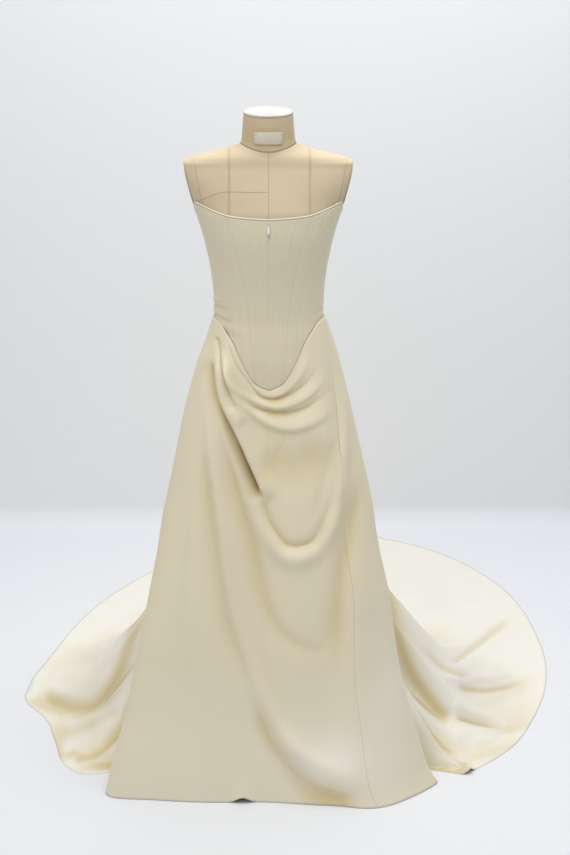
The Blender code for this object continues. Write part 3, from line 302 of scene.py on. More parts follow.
# Folds of the train and of the skirt's sides, each a line seen from the camera as (across, up) on a plane at
# VIEW_DISTANCE, with its width above and below the line and how far back it acts
VIEW_DISTANCE = 3.4
CAMERA_PLACE = (0.0, -3.3, 1.68)
CAMERA_PITCH, CAMERA_PAN = math.radians(-15.3), math.radians(-0.66)
# A fold's shade is painted shade: the share of the satin's shade colour it lays along its line, also where its lift is
# 0
SeenFold = namedtuple("SeenFold", "name points above below lift shade start stop back_to")
TRAIN_FOLDS = [
    SeenFold("left crest", [(-0.618, -0.627), (-0.59, -0.632), (-0.562, -0.636), (-0.519, -0.64), (-0.477, -0.63), (-0.441, -0.599), (-0.42, -0.57)], 0.0613, 0.0142, 0.010, 0, 0.1, 0.6, 0.35),
    SeenFold("left hollow", [(-0.599, -0.643), (-0.561, -0.652), (-0.501, -0.669), (-0.453, -0.662), (-0.413, -0.619), (-0.386, -0.56), (-0.361, -0.485), (-0.33, -0.386), (-0.307, -0.31)], 0.0189, 0.0226, -0.004, 0.9, 0.08, 0.85, 0.28),
    SeenFold("left fold shade", [(-0.537, -0.626), (-0.477, -0.61), (-0.434, -0.564), (-0.394, -0.507), (-0.363, -0.436)], 0.012, 0.03, 0.0, 0.3, 0.15, 0.85, 0.3),
    SeenFold("left low hollow", [(-0.514, -0.795), (-0.486, -0.788), (-0.453, -0.772), (-0.42, -0.745), (-0.392, -0.711), (-0.373, -0.664), (-0.361, -0.622)], 0.0113, 0.0160, -0.015, 0.9, 0.1, 0.8, 0.1),
    SeenFold("left low crest", [(-0.533, -0.768), (-0.495, -0.763), (-0.458, -0.744), (-0.425, -0.716), (-0.401, -0.678)], 0.0283, 0.0113, 0.01, 0, 0.2, 0.7, 0.1),
    SeenFold("right side hollow", [(0.238, -0.339), (0.255, -0.424), (0.271, -0.494), (0.297, -0.57), (0.332, -0.626), (0.37, -0.676), (0.403, -0.707)], 0.0170, 0.0217, -0.008, 1, 0.15, 0.9, 0.25),
    SeenFold("right back hollow", [(0.314, -0.513), (0.347, -0.546), (0.38, -0.575), (0.413, -0.593), (0.45, -0.601)], 0.0085, 0.0104, -0.006, 0.5, 0.3, 0.8, 0.4),
    SeenFold("first radiating ridge", [(0.399, -0.585), (0.441, -0.553), (0.483, -0.52), (0.517, -0.494), (0.554, -0.462)], 0.0075, 0.0377, 0.007, 0, 0.25, 0.65, 0.9),
    SeenFold("first radiating hollow", [(0.387, -0.571), (0.427, -0.543), (0.474, -0.507), (0.507, -0.481), (0.547, -0.45)], 0.0094, 0.0094, -0.005, 0.6, 0.2, 0.75, 0.9),
    SeenFold("second radiating ridge", [(0.361, -0.601), (0.413, -0.607), (0.46, -0.604), (0.531, -0.593), (0.611, -0.579)], 0.0377, 0.0060, 0.0075, 0, 0.15, 0.55, 0.9),
    SeenFold("second radiating hollow", [(0.403, -0.618), (0.46, -0.626), (0.507, -0.622), (0.554, -0.61), (0.606, -0.591)], 0.0071, 0.0113, -0.005, 0.8, 0.12, 0.6, 0.9),
    SeenFold("third radiating ridge", [(0.391, -0.663), (0.422, -0.676), (0.46, -0.689), (0.502, -0.7), (0.55, -0.714)], 0.0330, 0.0060, 0.008, 0, 0.12, 0.55, 0.9),
    SeenFold("third radiating hollow", [(0.403, -0.689), (0.441, -0.701), (0.483, -0.711), (0.526, -0.72)], 0.0071, 0.0075, -0.005, 0.9, 0.12, 0.6, 0.9),
    SeenFold("low radiating ridge", [(0.389, -0.726), (0.422, -0.725), (0.46, -0.726), (0.498, -0.727), (0.54, -0.733)], 0.0071, 0.0283, 0.008, 0, 0.2, 0.6, 0.9),
    SeenFold("arch hollow", [(0.314, -0.685), (0.335, -0.733), (0.366, -0.766), (0.403, -0.778), (0.441, -0.781)], 0.0142, 0.0094, -0.004, 0.8, 0.2, 0.6, 0.1),
    # The arch underside is painted shade alone: a warm dark patch at the hem with no lift under it
    SeenFold("arch underside", [(0.377, -0.797), (0.407, -0.806), (0.44, -0.801)], 0.006, 0.012, 0, 0.9, 0.15, 0.85, 0.1),
]

# Drop pearl at the neckline, hung on rings
RING_WIRE = 0.00045
SEWN_RING_RADIUS = 0.0026
EYE_RADIUS = 0.0017
RING_PLAY = 0.00022
PEARL_LENGTH = 0.0215
PEARL_RADIUS = 0.0033
CRYSTAL_LENGTH = 0.0080
CRYSTAL_RADIUS = 0.0028
RING_DROP = 0.0045
PEARL_PROFILE = [(0, 0.30), (0.05, 0.68), (0.16, 0.95), (0.30, 1.0), (0.60, 0.80), (0.86, 0.50), (1, 0.28)]
CRYSTAL_PROFILE = [(0, 0.25), (0.25, 0.85), (0.5, 1.0), (0.75, 0.85), (1, 0.25)]

# Zip at the centre back
SLIDER_SIZE = (0.0056, 0.0030, 0.0105)
SLIDER_DROP = 0.016
TAB_LENGTH, TAB_WIDTH, TAB_THICKNESS = 0.024, 0.0048, 0.0013
TAB_RISE = 0.0009
EDGE_ROLL_RADIUS = 0.0017
ROLL_GAP = 0.0007
ROLL_OUT = 0.0006
ROLL_END = 178.6


# Finer than the part: how the visible cloth is cut into cells
FINE_LINE_STEPS = 140
FINE_CROWDING = 0.8
LANDING_CROWD = 1.6
FOLD_FULLNESS = 0.9
FORWARD_PULL = 2.0
FINE_BANDS = [RowBand(0.008, 5), RowBand(0.22, 78), RowBand(0.46, 62), RowBand(1.00, 92)]
FINE_COLUMNS = {
    "skirt_front": 194,
    "skirt_side_front": 44,
    "skirt_back_right": 150,
    "skirt_back_left": 116,
    "skirt_side_left": 70,
}
SEAM_STEPS = (0.10, 0.24, 0.45)
SKIRT_SEAM_TURN_IN = 0.0010
BODICE_SEAM_TURN_IN = 0.0004
WAIST_TURN_IN, WAIST_TURN_REACH = 0.0012, 0.0035
SEAM_REACH = 0.0032
BODICE_FINE_ROWS = 110
# Painted shade on upright satin: the share of the shade colour it takes
SHADE_ON_UPRIGHT_SATIN = 0.56
HEM_LINE_WIDTH = 0.0016
# Painted shade on the rolled neckline: the share of the shade colour it takes all along
ROLL_PAINTED_SHADE = 0.42
# Places of the front where the upright painted shade is lessened to paint a paler sheen, by x and height, with their
# reach each way
PaintedSheenPatch = namedtuple("PaintedSheenPatch", "x height reach rise share")
PAINTED_SHEEN_PATCHES = [PaintedSheenPatch(0.150, 0.10, 0.09, 0.060, 0.70), PaintedSheenPatch(0.27, 0.20, 0.06, 0.20, 0.40)]
# Depth of a fold at which its painted shade is full
HOLLOW_FULL_DEPTH = 0.022
TORSO_FINE_COLUMNS, TORSO_FINE_ROWS = 144, 150


class DressSettings(bpy.types.PropertyGroup):
    """Sizes and colours of the dress."""

    cloth_thickness: bpy.props.FloatProperty(
        name="Cloth thickness",
        description="Thickness of the satin with its backing",
        default=0.0009,
        min=0.0003,
        max=0.002,
        precision=4,
        unit="LENGTH",
    )
    hem_depth: bpy.props.FloatProperty(
        name="Hem depth",
        description="How far above the edge the hem is caught down",
        default=0.050,
        min=0.01,
        max=0.12,
        unit="LENGTH",
    )
    channel_rise: bpy.props.FloatProperty(
        name="Boning rise",
        description="How far a bone pushes the bodice out",
        default=0.0006,
        min=0.0,
        max=0.002,
        precision=4,
        unit="LENGTH",
    )
    satin_colour: bpy.props.FloatVectorProperty(
        name="Satin",
        description="Colour of the satin where light falls on it",
        default=(0.90, 0.875, 0.785),
        subtype="COLOR",
        size=3,
        min=0,
        max=1,
    )
    # Painted shade: the colour mixed into the satin deep in its folds and where it hangs upright
    painted_shade_colour: bpy.props.FloatVectorProperty(
        name="Satin in hollows",
        description="Colour of the satin deep in its folds",
        default=(0.62, 0.485, 0.205),
        subtype="COLOR",
        size=3,
        min=0,
        max=1,
    )


class FormSettings(bpy.types.PropertyGroup):
    """Colours of the dress form."""

    linen_colour: bpy.props.FloatVectorProperty(
        name="Linen",
        description="Colour of the form's linen cover",
        default=(0.665, 0.550, 0.370),
        subtype="COLOR",
        size=3,
        min=0,
        max=1,
    )
    tape_width: bpy.props.FloatProperty(
        name="Seam cord",
        description="Radius of the cord in the form's seams",
        default=0.00048,
        min=0.0002,
        max=0.002,
        precision=4,
        unit="LENGTH",
    )


class StageSettings(bpy.types.PropertyGroup):
    """Light and backdrop."""

    top_power: bpy.props.FloatProperty(
        name="Top light",
        description="Power of the softbox overhead",
        default=92.0,
        min=0,
        unit="POWER",
    )
    front_power: bpy.props.FloatProperty(
        name="Front light",
        description="Power of the large light behind the camera",
        default=28.0,
        min=0,
        unit="POWER",
    )
    room_light: bpy.props.FloatProperty(
        name="Room light",
        description="Strength of the even light of the white room",
        default=0.36,
        min=0,
    )
    floor_colour: bpy.props.FloatVectorProperty(
        name="Floor",
        description="Colour of the studio floor",
        default=(0.80, 0.815, 0.85),
        subtype="COLOR",
        size=3,
        min=0,
        max=1,
    )
    wall_colour: bpy.props.FloatVectorProperty(
        name="Wall",
        description="Colour of the studio wall",
        default=(0.82, 0.83, 0.85),
        subtype="COLOR",
        size=3,
        min=0,
        max=1,
    )


# Selecting and finishing


def clear_selection():
    """Object mode with nothing selected, because imported nodes come in selected."""
    if bpy.context.object and bpy.context.object.mode != "OBJECT":
        bpy.ops.object.mode_set(mode="OBJECT")
    bpy.ops.object.select_all(action="DESELECT")


def settle(obj, name):
    """The object named, with its place put into its mesh."""
    clear_selection()
    obj.select_set(True)
    bpy.context.view_layer.objects.active = obj
    bpy.ops.object.transform_apply(location=True, rotation=True, scale=True)
    obj.name = name
    obj.data.name = name
    return obj


def turned_solid(name, profile, steps=64, smooth_degrees=35):
    """A solid turned about Z: a disc drawn up and resized ring by ring, from (radius, height) pairs."""
    clear_selection()
    radius, height = profile[0]
    bpy.ops.mesh.primitive_circle_add(vertices=steps, radius=radius, fill_type="NGON", location=(0, 0, height))
    obj = bpy.context.object
    bpy.ops.object.mode_set(mode="EDIT")
    bpy.ops.mesh.select_mode(type="FACE")
    bpy.ops.mesh.select_all(action="SELECT")
    for (low, foot), (high, top) in zip(profile, profile[1:]):
        bpy.ops.mesh.extrude_region_move(TRANSFORM_OT_translate={"value": (0, 0, top - foot)})
        if abs(high - low) > 1e-9:
            bpy.ops.transform.resize(value=(high / low, high / low, 1), center_override=(0, 0, top))
    bpy.ops.mesh.select_all(action="SELECT")
    bpy.ops.mesh.normals_make_consistent(inside=False)
    bpy.ops.object.mode_set(mode="OBJECT")
    bpy.ops.object.shade_smooth_by_angle(angle=math.radians(smooth_degrees))
    return settle(obj, name)


def spun_hoop(name, radius, wire, centre, turn_z=0.0):
    """A wire ring in the XZ plane, spun from a small circle, then turned about Z and put in place."""
    clear_selection()
    bpy.ops.mesh.primitive_circle_add(
        vertices=14, radius=wire, fill_type="NOTHING", location=(radius, 0, 0)
    )
    obj = bpy.context.object
    settle(obj, name)
    bpy.ops.object.mode_set(mode="EDIT")
    bpy.ops.mesh.select_all(action="SELECT")
    bpy.ops.mesh.spin(steps=48, angle=2 * math.pi, center=(0, 0, 0), axis=(0, 1, 0))
    bpy.ops.mesh.select_all(action="SELECT")
    bpy.ops.mesh.remove_doubles(threshold=wire * 0.02)
    bpy.ops.mesh.normals_make_consistent(inside=False)
    bpy.ops.object.mode_set(mode="OBJECT")
    bpy.ops.object.shade_smooth()
    obj.rotation_euler = (0, 0, turn_z)
    obj.location = centre
    return settle(obj, name)


def faces_where(obj, wanted):
    """Edit mode with only the faces selected whose middle and normal pass the test."""
    bpy.ops.object.mode_set(mode="EDIT")
    bpy.ops.mesh.select_mode(type="FACE")
    bpy.ops.mesh.select_all(action="DESELECT")
    shape = bmesh.from_edit_mesh(obj.data)
    count = 0
    for face in shape.faces:
        if wanted(face.calc_center_median(), face.normal):
            face.select_set(True)
            count += 1
    bmesh.update_edit_mesh(obj.data)
    if not count:
        raise RuntimeError(f"no face of {obj.name} is where it should be")


def applied_bevel(obj, width, segments=3, angle=math.radians(30)):
    bevel = obj.modifiers.new("edge", "BEVEL")
    bevel.width = width
    bevel.segments = segments
    bevel.limit_method = "ANGLE"
    bevel.angle_limit = angle
    clear_selection()
    obj.select_set(True)
    bpy.context.view_layer.objects.active = obj
    bpy.ops.object.modifier_apply(modifier=bevel.name)
    return obj


def mesh_piece(name, points, faces, uv=None):
    """A piece from points and faces, with its weave map where one is given for each corner of a face."""
    mesh = bpy.data.meshes.new(name)
    mesh.from_pydata([tuple(p) for p in points], [], faces)
    mesh.update()
    if uv is not None:
        layer = mesh.uv_layers.new(name="cloth")
        index = np.empty(len(mesh.loops), np.int32)
        mesh.loops.foreach_get("vertex_index", index)
        layer.data.foreach_set("uv", np.asarray(uv, np.float32)[index].ravel())
    mesh.shade_smooth()
    obj = bpy.data.objects.new(name, mesh)
    bpy.context.scene.collection.objects.link(obj)
    return obj


def tube(name, path, radius, sides=10, closed=False):
    """A cord along a path, with its map running round and along it. The radius may change from point to point."""
    path = np.asarray(path, float)
    radius = np.broadcast_to(np.asarray(radius, float), len(path))
    if closed:
        along = np.roll(path, -1, axis=0) - np.roll(path, 1, axis=0)
    else:
        along = np.gradient(path, axis=0)
    along /= np.linalg.norm(along, axis=1, keepdims=True)
    side = np.cross(along[0], (0.3, 0.2, 1.0))
    rings = []
    run = np.concatenate([[0], np.cumsum(np.linalg.norm(np.diff(path, axis=0), axis=1))])
    uv = []
    for place, way, size, far in zip(path, along, radius, run):
        side = side - way * np.dot(side, way)
        side /= np.linalg.norm(side)
        over = np.cross(way, side)
        turns = 2 * math.pi * np.arange(sides) / sides
        rings.append(place + size * (np.cos(turns)[:, None] * side + np.sin(turns)[:, None] * over))
        uv += [(size * turn, far) for turn in turns]
    points = np.concatenate(rings)
    faces = []
    count = len(path)
    for j in range(count if closed else count - 1):
        k = (j + 1) % count
        for i in range(sides):
            n = (i + 1) % sides
            faces.append((j * sides + i, j * sides + n, k * sides + n, k * sides + i))
    if not closed:
        faces.append(tuple(range(sides - 1, -1, -1)))
        faces.append(tuple((count - 1) * sides + i for i in range(sides)))
    return mesh_piece(name, points, faces, uv)


# Cloth


def cloth_map(points):
    """Where each point lies on the cloth as cut: across from the middle thread, and down along it."""
    across = np.linalg.norm(np.diff(points, axis=1), axis=-1)
    across = np.concatenate([np.zeros((len(points), 1)), np.cumsum(across, axis=1)], axis=1)
    across -= across[:, [points.shape[1] // 2]]
    down = np.linalg.norm(np.diff(points, axis=0), axis=-1)
    down = np.concatenate([np.zeros((1, points.shape[1])), np.cumsum(down, axis=0)], axis=0)
    return np.stack([across, down], axis=-1)


def cut_size(points):
    """The cloth's width, length and area as cut, from its outer points."""
    across = np.linalg.norm(np.diff(points, axis=1), axis=-1).sum(axis=1).max()
    down = np.linalg.norm(np.diff(points, axis=0), axis=-1).sum(axis=0).mean()
    a, b = points[1:, :-1] - points[:-1, :-1], points[:-1, 1:] - points[:-1, :-1]
    c, d = points[1:, :-1] - points[1:, 1:], points[:-1, 1:] - points[1:, 1:]
    area = (np.linalg.norm(np.cross(a, b), axis=-1) + np.linalg.norm(np.cross(c, d), axis=-1)).sum() / 2
    return float(across), float(down), float(area)


def cloth_sheet(name, outer, normal, thickness, hollow, material, from_hem=None):
    """A closed thin cloth whose outer side runs through the grid of points, rows down and columns round."""
    rows, columns = outer.shape[:2]
    inner = outer - normal * thickness
    points = np.concatenate([outer.reshape(-1, 3), inner.reshape(-1, 3)])
    first = np.arange(rows * columns).reshape(rows, columns)
    a, b = first[:-1, :-1].ravel(), first[1:, :-1].ravel()
    c, d = first[1:, 1:].ravel(), first[:-1, 1:].ravel()
    shift = rows * columns
    faces = [np.stack([a, b, c, d], axis=1), np.stack([a, d, c, b], axis=1) + shift]
    edges = [first[0, ::-1], first[:, 0], first[-1, :], first[::-1, -1]]
    for edge in edges:
        low, high = edge[:-1], edge[1:]
        faces.append(np.stack([high, low, low + shift, high + shift], axis=1))
    uv = cloth_map(outer).reshape(-1, 2)
    obj = mesh_piece(name, points, np.concatenate(faces).tolist(), np.concatenate([uv, uv]))
    attribute = obj.data.attributes.new("hollow", "FLOAT", "POINT")
    # The hollow attribute is painted shade, more on the inner side than on the outer
    depth = np.concatenate([hollow.ravel(), np.minimum(1.0, hollow.ravel() + 0.35)])
    attribute.data.foreach_set("value", depth.astype(np.float32))
    if from_hem is not None:
        attribute = obj.data.attributes.new("from_hem", "FLOAT", "POINT")
        attribute.data.foreach_set("value", np.concatenate([from_hem.ravel()] * 2).astype(np.float32))
    obj.data.materials.append(material)
    return obj


def turned_in(points, normal, run_across, deepest):
    """The first and last columns turned in, so that two panels meet in a fine groove."""
    total = run_across[:, [-1]]
    near = np.minimum(run_across, total - run_across)
    depth = deepest * np.exp(-((near / SEAM_REACH) ** 2))
    return points - normal * depth[..., None]


def run_round(points):
    step = np.linalg.norm(np.diff(points, axis=1), axis=-1)
    return np.concatenate([np.zeros((len(points), 1)), np.cumsum(step, axis=1)], axis=1)


def run_down(points):
    step = np.linalg.norm(np.diff(points, axis=0), axis=-1)
    return np.concatenate([np.zeros((1, points.shape[1])), np.cumsum(step, axis=0)], axis=0)


# Interpolation


def smooth_curve(at, known_at, known):
    """A smooth curve through the known values, with no overshoot between them."""
    known_at = np.asarray(known_at, float)
    known = np.asarray(known, float)
    step = np.diff(known_at)
    slope = np.diff(known) / step
    tangent = np.zeros_like(known)
    same_way = slope[:-1] * slope[1:] > 0
    total = np.where(same_way, slope[:-1] + slope[1:], 1.0)
    tangent[1:-1] = np.where(same_way, 2 * slope[:-1] * slope[1:] / total, 0.0)
    tangent[0], tangent[-1] = slope[0], slope[-1]
    at = np.clip(np.asarray(at, float), known_at[0], known_at[-1])
    i = np.clip(np.searchsorted(known_at, at) - 1, 0, len(step) - 1)
    u = (at - known_at[i]) / step[i]
    return (
        known[i] * (1 + 2 * u) * (1 - u) ** 2
        + known[i + 1] * u**2 * (3 - 2 * u)
        + step[i] * tangent[i] * u * (1 - u) ** 2
        - step[i] * tangent[i + 1] * u**2 * (1 - u)
    )


def round_curve(angle, known_at, known):
    """A smooth closed curve over the full turn, through values given at angles in rising order."""
    known_at = np.asarray(known_at, float)
    known = np.asarray(known, float)
    known_at = np.concatenate([known_at[-3:] - 360, known_at, known_at[:3] + 360])
    known = np.concatenate([known[-3:], known, known[:3]])
    tangent = np.gradient(known, known_at)
    angle = (np.asarray(angle, float) - known_at[3]) % 360 + known_at[3]
    i = np.clip(np.searchsorted(known_at, angle) - 1, 0, len(known) - 2)
    step = known_at[i + 1] - known_at[i]
    u = (angle - known_at[i]) / step
    return (
        known[i] * (1 + 2 * u) * (1 - u) ** 2
        + known[i + 1] * u**2 * (3 - 2 * u)
        + step * tangent[i] * u * (1 - u) ** 2
        - step * tangent[i + 1] * u**2 * (1 - u)
    )


def ramp(low, high, value):
    """0 below low, 1 above high, and smooth between them."""
    u = np.clip((np.asarray(value, float) - low) / (high - low), 0, 1)
    return u * u * (3 - 2 * u)


def column(rows, name):
    return [getattr(row, name) for row in rows]


# Body and bodice


def body_point(angle, height):
    """A point of the form's skin at this angle from the centre front, and the way out from it."""
    angle = np.radians(angle)
    heights = column(BODY, "height")
    half = smooth_curve(height, heights, column(BODY, "half_width"))
    front = smooth_curve(height, heights, column(BODY, "front"))
    back = smooth_curve(height, heights, column(BODY, "back"))
    power = 2.0 / smooth_curve(height, heights, column(BODY, "square"))
    across, along = np.sin(angle), np.cos(angle)
    depth = np.where(along > 0, front, back)
    x = half * np.sign(across) * np.abs(across) ** power
    y = -depth * np.sign(along) * np.abs(along) ** power
    out = np.stack([across / half, -along / depth, np.zeros_like(x)], axis=-1)
    out /= np.linalg.norm(out, axis=-1, keepdims=True)
    return np.stack([x, y, np.broadcast_to(height, x.shape)], axis=-1), out


def edge_height(rows, angle):
    return smooth_curve(np.abs(angle), column(rows, "angle"), column(rows, "height"))


def grid_normals(points):
    """The outward normals of a grid of points, whose rows run down the cloth and whose columns run round it."""
    normal = np.cross(np.gradient(points, axis=0), np.gradient(points, axis=1))
    return normal / np.maximum(np.linalg.norm(normal, axis=-1, keepdims=True), 1e-9)


def part_at_seams(points):
    """The grid's first and last columns moved in, by half of the gap that a seam keeps."""
    points = points.copy()
    for edge, beside in ((0, 1), (-1, -2)):
        way = points[:, beside] - points[:, edge]
        way /= np.linalg.norm(way, axis=-1, keepdims=True)
        points[:, edge] += way * SEAM_GAP / 2
    return points


def straightness(angle):
    """1 where the cloth drops straight to its hem, 0 where it lands and runs out as the train."""
    left = ramp(STRAIGHT_TO[0], STRAIGHT_FROM[0], angle)
    right = 1 - ramp(STRAIGHT_FROM[1], STRAIGHT_TO[1], angle)
    return left * right


def skirt_line(angle):
    """One thread of the skirt before its folds, from the waist seam to the hem, as evenly spaced points."""
    waist_angle = smooth_curve(angle, column(THREADS, "hem_angle"), column(THREADS, "waist_angle"))
    seam = edge_height(WAIST_SEAM, waist_angle) + WAIST_LAP
    skin, out = body_point(np.array([waist_angle]), np.array([seam]))
    start = skin[0] + out[0] * (BODY_GAP + CLOTH_WALL + WAIST_STAND_OFF)
    reach = round_curve(angle, column(HEM, "angle"), column(HEM, "reach"))
    hem = np.array([math.sin(math.radians(angle)), -math.cos(math.radians(angle)), 0]) * reach
    way = hem - start
    way[2] = 0
    long = np.linalg.norm(way)
    way /= long
    straight = float(straightness(angle))
    height = np.linspace(seam, 0, FINE_LINE_STEPS)
    heights = column(FLARE, "height")
    train = smooth_curve(height, heights, column(FLARE, "train"))
    train -= train[0] * height / seam
    landing = min(train[-1], long * LANDING_SHARE)
    spread = straight * long * (1 - height / seam) + (1 - straight) * train * landing / train[-1]
    front = "front_left" if angle < 0 else "front_right"
    hip = (1 - straight) * smooth_curve(height, heights, column(FLARE, "hip"))
    hip += straight * smooth_curve(height, heights, column(FLARE, front))
    hip -= hip[0] * height / seam
    waist_turn = math.radians(waist_angle)
    hip_share = math.sin(waist_turn) ** 2 if abs(waist_angle) < 90 else 1.0
    side = np.array([math.sin(waist_turn), -math.cos(waist_turn), 0])
    plan = start[None, :] * [1, 1, 0] + way * spread[:, None] + side * (hip * hip_share)[:, None]
    hang = plan + np.array([0, 0, 1]) * height[:, None]
    left = long - spread[-1]
    lying = hang[-1] + way * np.linspace(0, left, FINE_LINE_STEPS)[1:, None]
    line = np.concatenate([hang, lying]) if left > 1e-4 else hang
    run = np.concatenate([[0], np.cumsum(np.linalg.norm(np.diff(line, axis=0), axis=1))])
    return line, run / run[-1]


def flute_lift(angle, share):
    lift = np.zeros(np.broadcast(angle, share).shape)
    for flute in FLUTES:
        down = ramp(flute.start, 1.0, share)
        centre = flute.top_angle + (flute.hem_angle - flute.top_angle) * down
        width = flute.top_width + (flute.hem_width - flute.top_width) * down
        away = (angle - centre + 180) % 360 - 180
        grown = ramp(flute.start, flute.start + 0.35, share)
        kept = 1 - ramp(flute.stop - 0.12, flute.stop, share) if flute.stop < 1 else 1.0
        lift += flute.lift * np.exp(-((away / width) ** 2)) * grown * kept
    return lift


def fold_path(places):
    """A fold's line through its points."""
    places = np.array(places, float)
    at = np.concatenate([[0], np.cumsum(np.linalg.norm(np.diff(places, axis=0), axis=1))])
    fine = np.linspace(0, at[-1], FOLD_STEPS)
    tangent = np.gradient(places, at, axis=0)
    i = np.clip(np.searchsorted(at, fine) - 1, 0, len(at) - 2)
    step = (at[i + 1] - at[i])[:, None]
    u = (fine[:, None] - at[i][:, None]) / step
    return (
        places[i] * (1 + 2 * u) * (1 - u) ** 2
        + places[i + 1] * u**2 * (3 - 2 * u)
        + step * tangent[i] * u * (1 - u) ** 2
        - step * tangent[i + 1] * u**2 * (1 - u)
    )


# Bodice

Channel = namedtuple("Channel", "low_angle top_angle")
CHANNELS = [
    Channel(1.6, 2.6),
    Channel(8.0, 17.0),
    Channel(22.0, 45.0),
    Channel(33.0, 53.0),
    Channel(62.0, 74.0),
    Channel(76.0, 84.0),
    Channel(104.0, 108.0),
    Channel(120.0, 124.0),
    Channel(150.0, 152.0),
    Channel(166.0, 167.0),
]
CHANNEL_WIDTH = 0.0042
Crease = namedtuple("Crease", "angle height half_angle half_height slope lift")
WAIST_CREASES = [
    Crease(-80, 1.094, 22, 0.0040, 0.00010, 0.0016),
    Crease(-76, 1.080, 28, 0.0045, -0.00012, -0.0016),
    Crease(-78, 1.066, 26, 0.0042, -0.00022, 0.0018),
    Crease(-62, 1.055, 26, 0.0038, -0.00030, -0.0013),
    Crease(-55, 1.040, 24, 0.0050, -0.00035, 0.0012),
    Crease(-40, 1.020, 20, 0.0060, -0.00030, -0.0008),
    Crease(-82, 1.108, 18, 0.0040, 0.0, -0.0009),
    Crease(82, 1.088, 18, 0.0042, 0.0001, 0.0012),
    Crease(80, 1.072, 20, 0.0040, 0.0002, -0.0012),
    Crease(76, 1.060, 18, 0.0040, 0.0003, 0.0010),
    Crease(130, 1.075, 26, 0.0050, 0.0001, 0.0011),
    Crease(-130, 1.078, 26, 0.0050, -0.0001, 0.0011),
    Crease(165, 1.062, 20, 0.0045, 0.0, -0.0009),
    Crease(-160, 1.090, 22, 0.0045, 0.0, -0.0009),
]


def channel_lift(angle, height, foot, top, rise):
    """How far the bones in their stitched channels push the bodice out."""
    lift = np.zeros(angle.shape)
    share = (height - foot) / np.maximum(top - foot, 1e-6)
    around = 0.125
    for channel in CHANNELS:
        for side in (-1, 1):
            centre = side * (channel.low_angle + (channel.top_angle - channel.low_angle) * share)
            away = np.radians(angle - centre) * around
            ridge = np.exp(-((away / CHANNEL_WIDTH) ** 4))
            stitch = np.exp(-(((np.abs(away) - CHANNEL_WIDTH * 1.12) / 0.0008) ** 2))
            lift += rise * ridge - rise * 0.75 * stitch
    return lift * ramp(0.0, 0.03, share) * (1 - ramp(0.94, 0.99, share))


def crease_lift(angle, height):
    """The small pulls in the cloth at the waist."""
    lift = np.zeros(angle.shape)
    for crease in WAIST_CREASES:
        away = (angle - crease.angle + 180) % 360 - 180
        line = crease.height + crease.slope * away
        lift += crease.lift * np.exp(-((away / crease.half_angle) ** 2) - ((height - line) / crease.half_height) ** 2)
    return lift


def bodice_sheet(name, low, top, columns, settings, material):
    """One bodice panel as thin cloth with its bones, between the same two seams as its solid."""
    share = np.linspace(0, 1, columns + 1)
    share = np.sort(np.concatenate([share, share[:2].mean(keepdims=True) * [0.5], 1 - share[:2].mean(keepdims=True) * [0.5]]))
    low_angle = low[0] + (low[1] - low[0]) * share
    top_angle = top[0] + (top[1] - top[0]) * share
    drop = np.linspace(1, 0, BODICE_FINE_ROWS + 1)[:, None]
    angle = low_angle + (top_angle - low_angle) * drop
    foot = edge_height(WAIST_SEAM, low_angle)
    head = edge_height(NECKLINE, top_angle)
    height = foot + (head - foot) * drop
    skin, out = body_point(angle, height)
    lift = channel_lift(angle, height, foot, head, settings.channel_rise) + crease_lift(angle, height)
    outer = skin + out * (BODY_GAP + CLOTH_WALL + np.maximum(lift, -0.0020)[..., None])
    normal = grid_normals(outer)
    outer = turned_in(outer, normal, run_round(outer), BODICE_SEAM_TURN_IN)
    outer = part_at_seams(outer)
    # Painted shade: the upright share, and more in the channels' stitch lines and the dips of the waist creases
    hollow = SHADE_ON_UPRIGHT_SATIN + np.clip(-lift / 0.0016, 0, 1) * 0.3
    piece = cloth_sheet(name, outer, grid_normals(outer), settings.cloth_thickness, hollow, material)
    width, length, area = cut_size(outer)
    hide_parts(name.replace("satin_", ""))
    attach(piece, "root")
    return piece, (width, length, area)


def bodice_panels():
    """Each bodice panel's node, with its edges' angles at the waist seam and at the neckline, and its columns."""
    low, top = PRINCESS_LOW, PRINCESS_TOP
    panels = [("bodice_centre_front", (-low, low), (-top, top), 84)]
    for seam in BODICE_SEAMS:
        lows, tops = (low, seam.low_angle), (top, seam.top_angle)
        columns = 40 if seam.panel != "side" else 32
        panels.append((f"bodice_{seam.panel}_right", lows, tops, columns))
        panels.append((f"bodice_{seam.panel}_left", (-lows[1], -lows[0]), (-tops[1], -tops[0]), columns))
        low, top = seam.low_angle, seam.top_angle
    return panels


def neckline_path(step=1.0):
    """The middle of the rolled edge, from one side of the centre back round to the other."""
    angles = np.arange(-ROLL_END, ROLL_END + step / 2, step)
    skin, out = body_point(angles, edge_height(NECKLINE, angles))
    edge = skin + out * (BODY_GAP + CLOTH_WALL / 2 + ROLL_OUT)
    up = np.cross(np.gradient(edge, axis=0), out)
    up *= np.sign(up[:, 2:3]) / np.linalg.norm(up, axis=1, keepdims=True)
    return edge + up * (EDGE_ROLL_RADIUS + ROLL_GAP)


# Skirt

HemLift = namedtuple("HemLift", "x y reach height")
HEM_LIFTS = [HemLift(-0.063, -0.375, 0.019, 0.0135)]


def fine_shares():
    """How far down its threads each fine row is."""
    shares, last = [0.0], 0.0
    for band in FINE_BANDS:
        shares += list(np.linspace(last, band.share, band.rows + 1)[1:])
        last = band.share
    return np.array(shares)


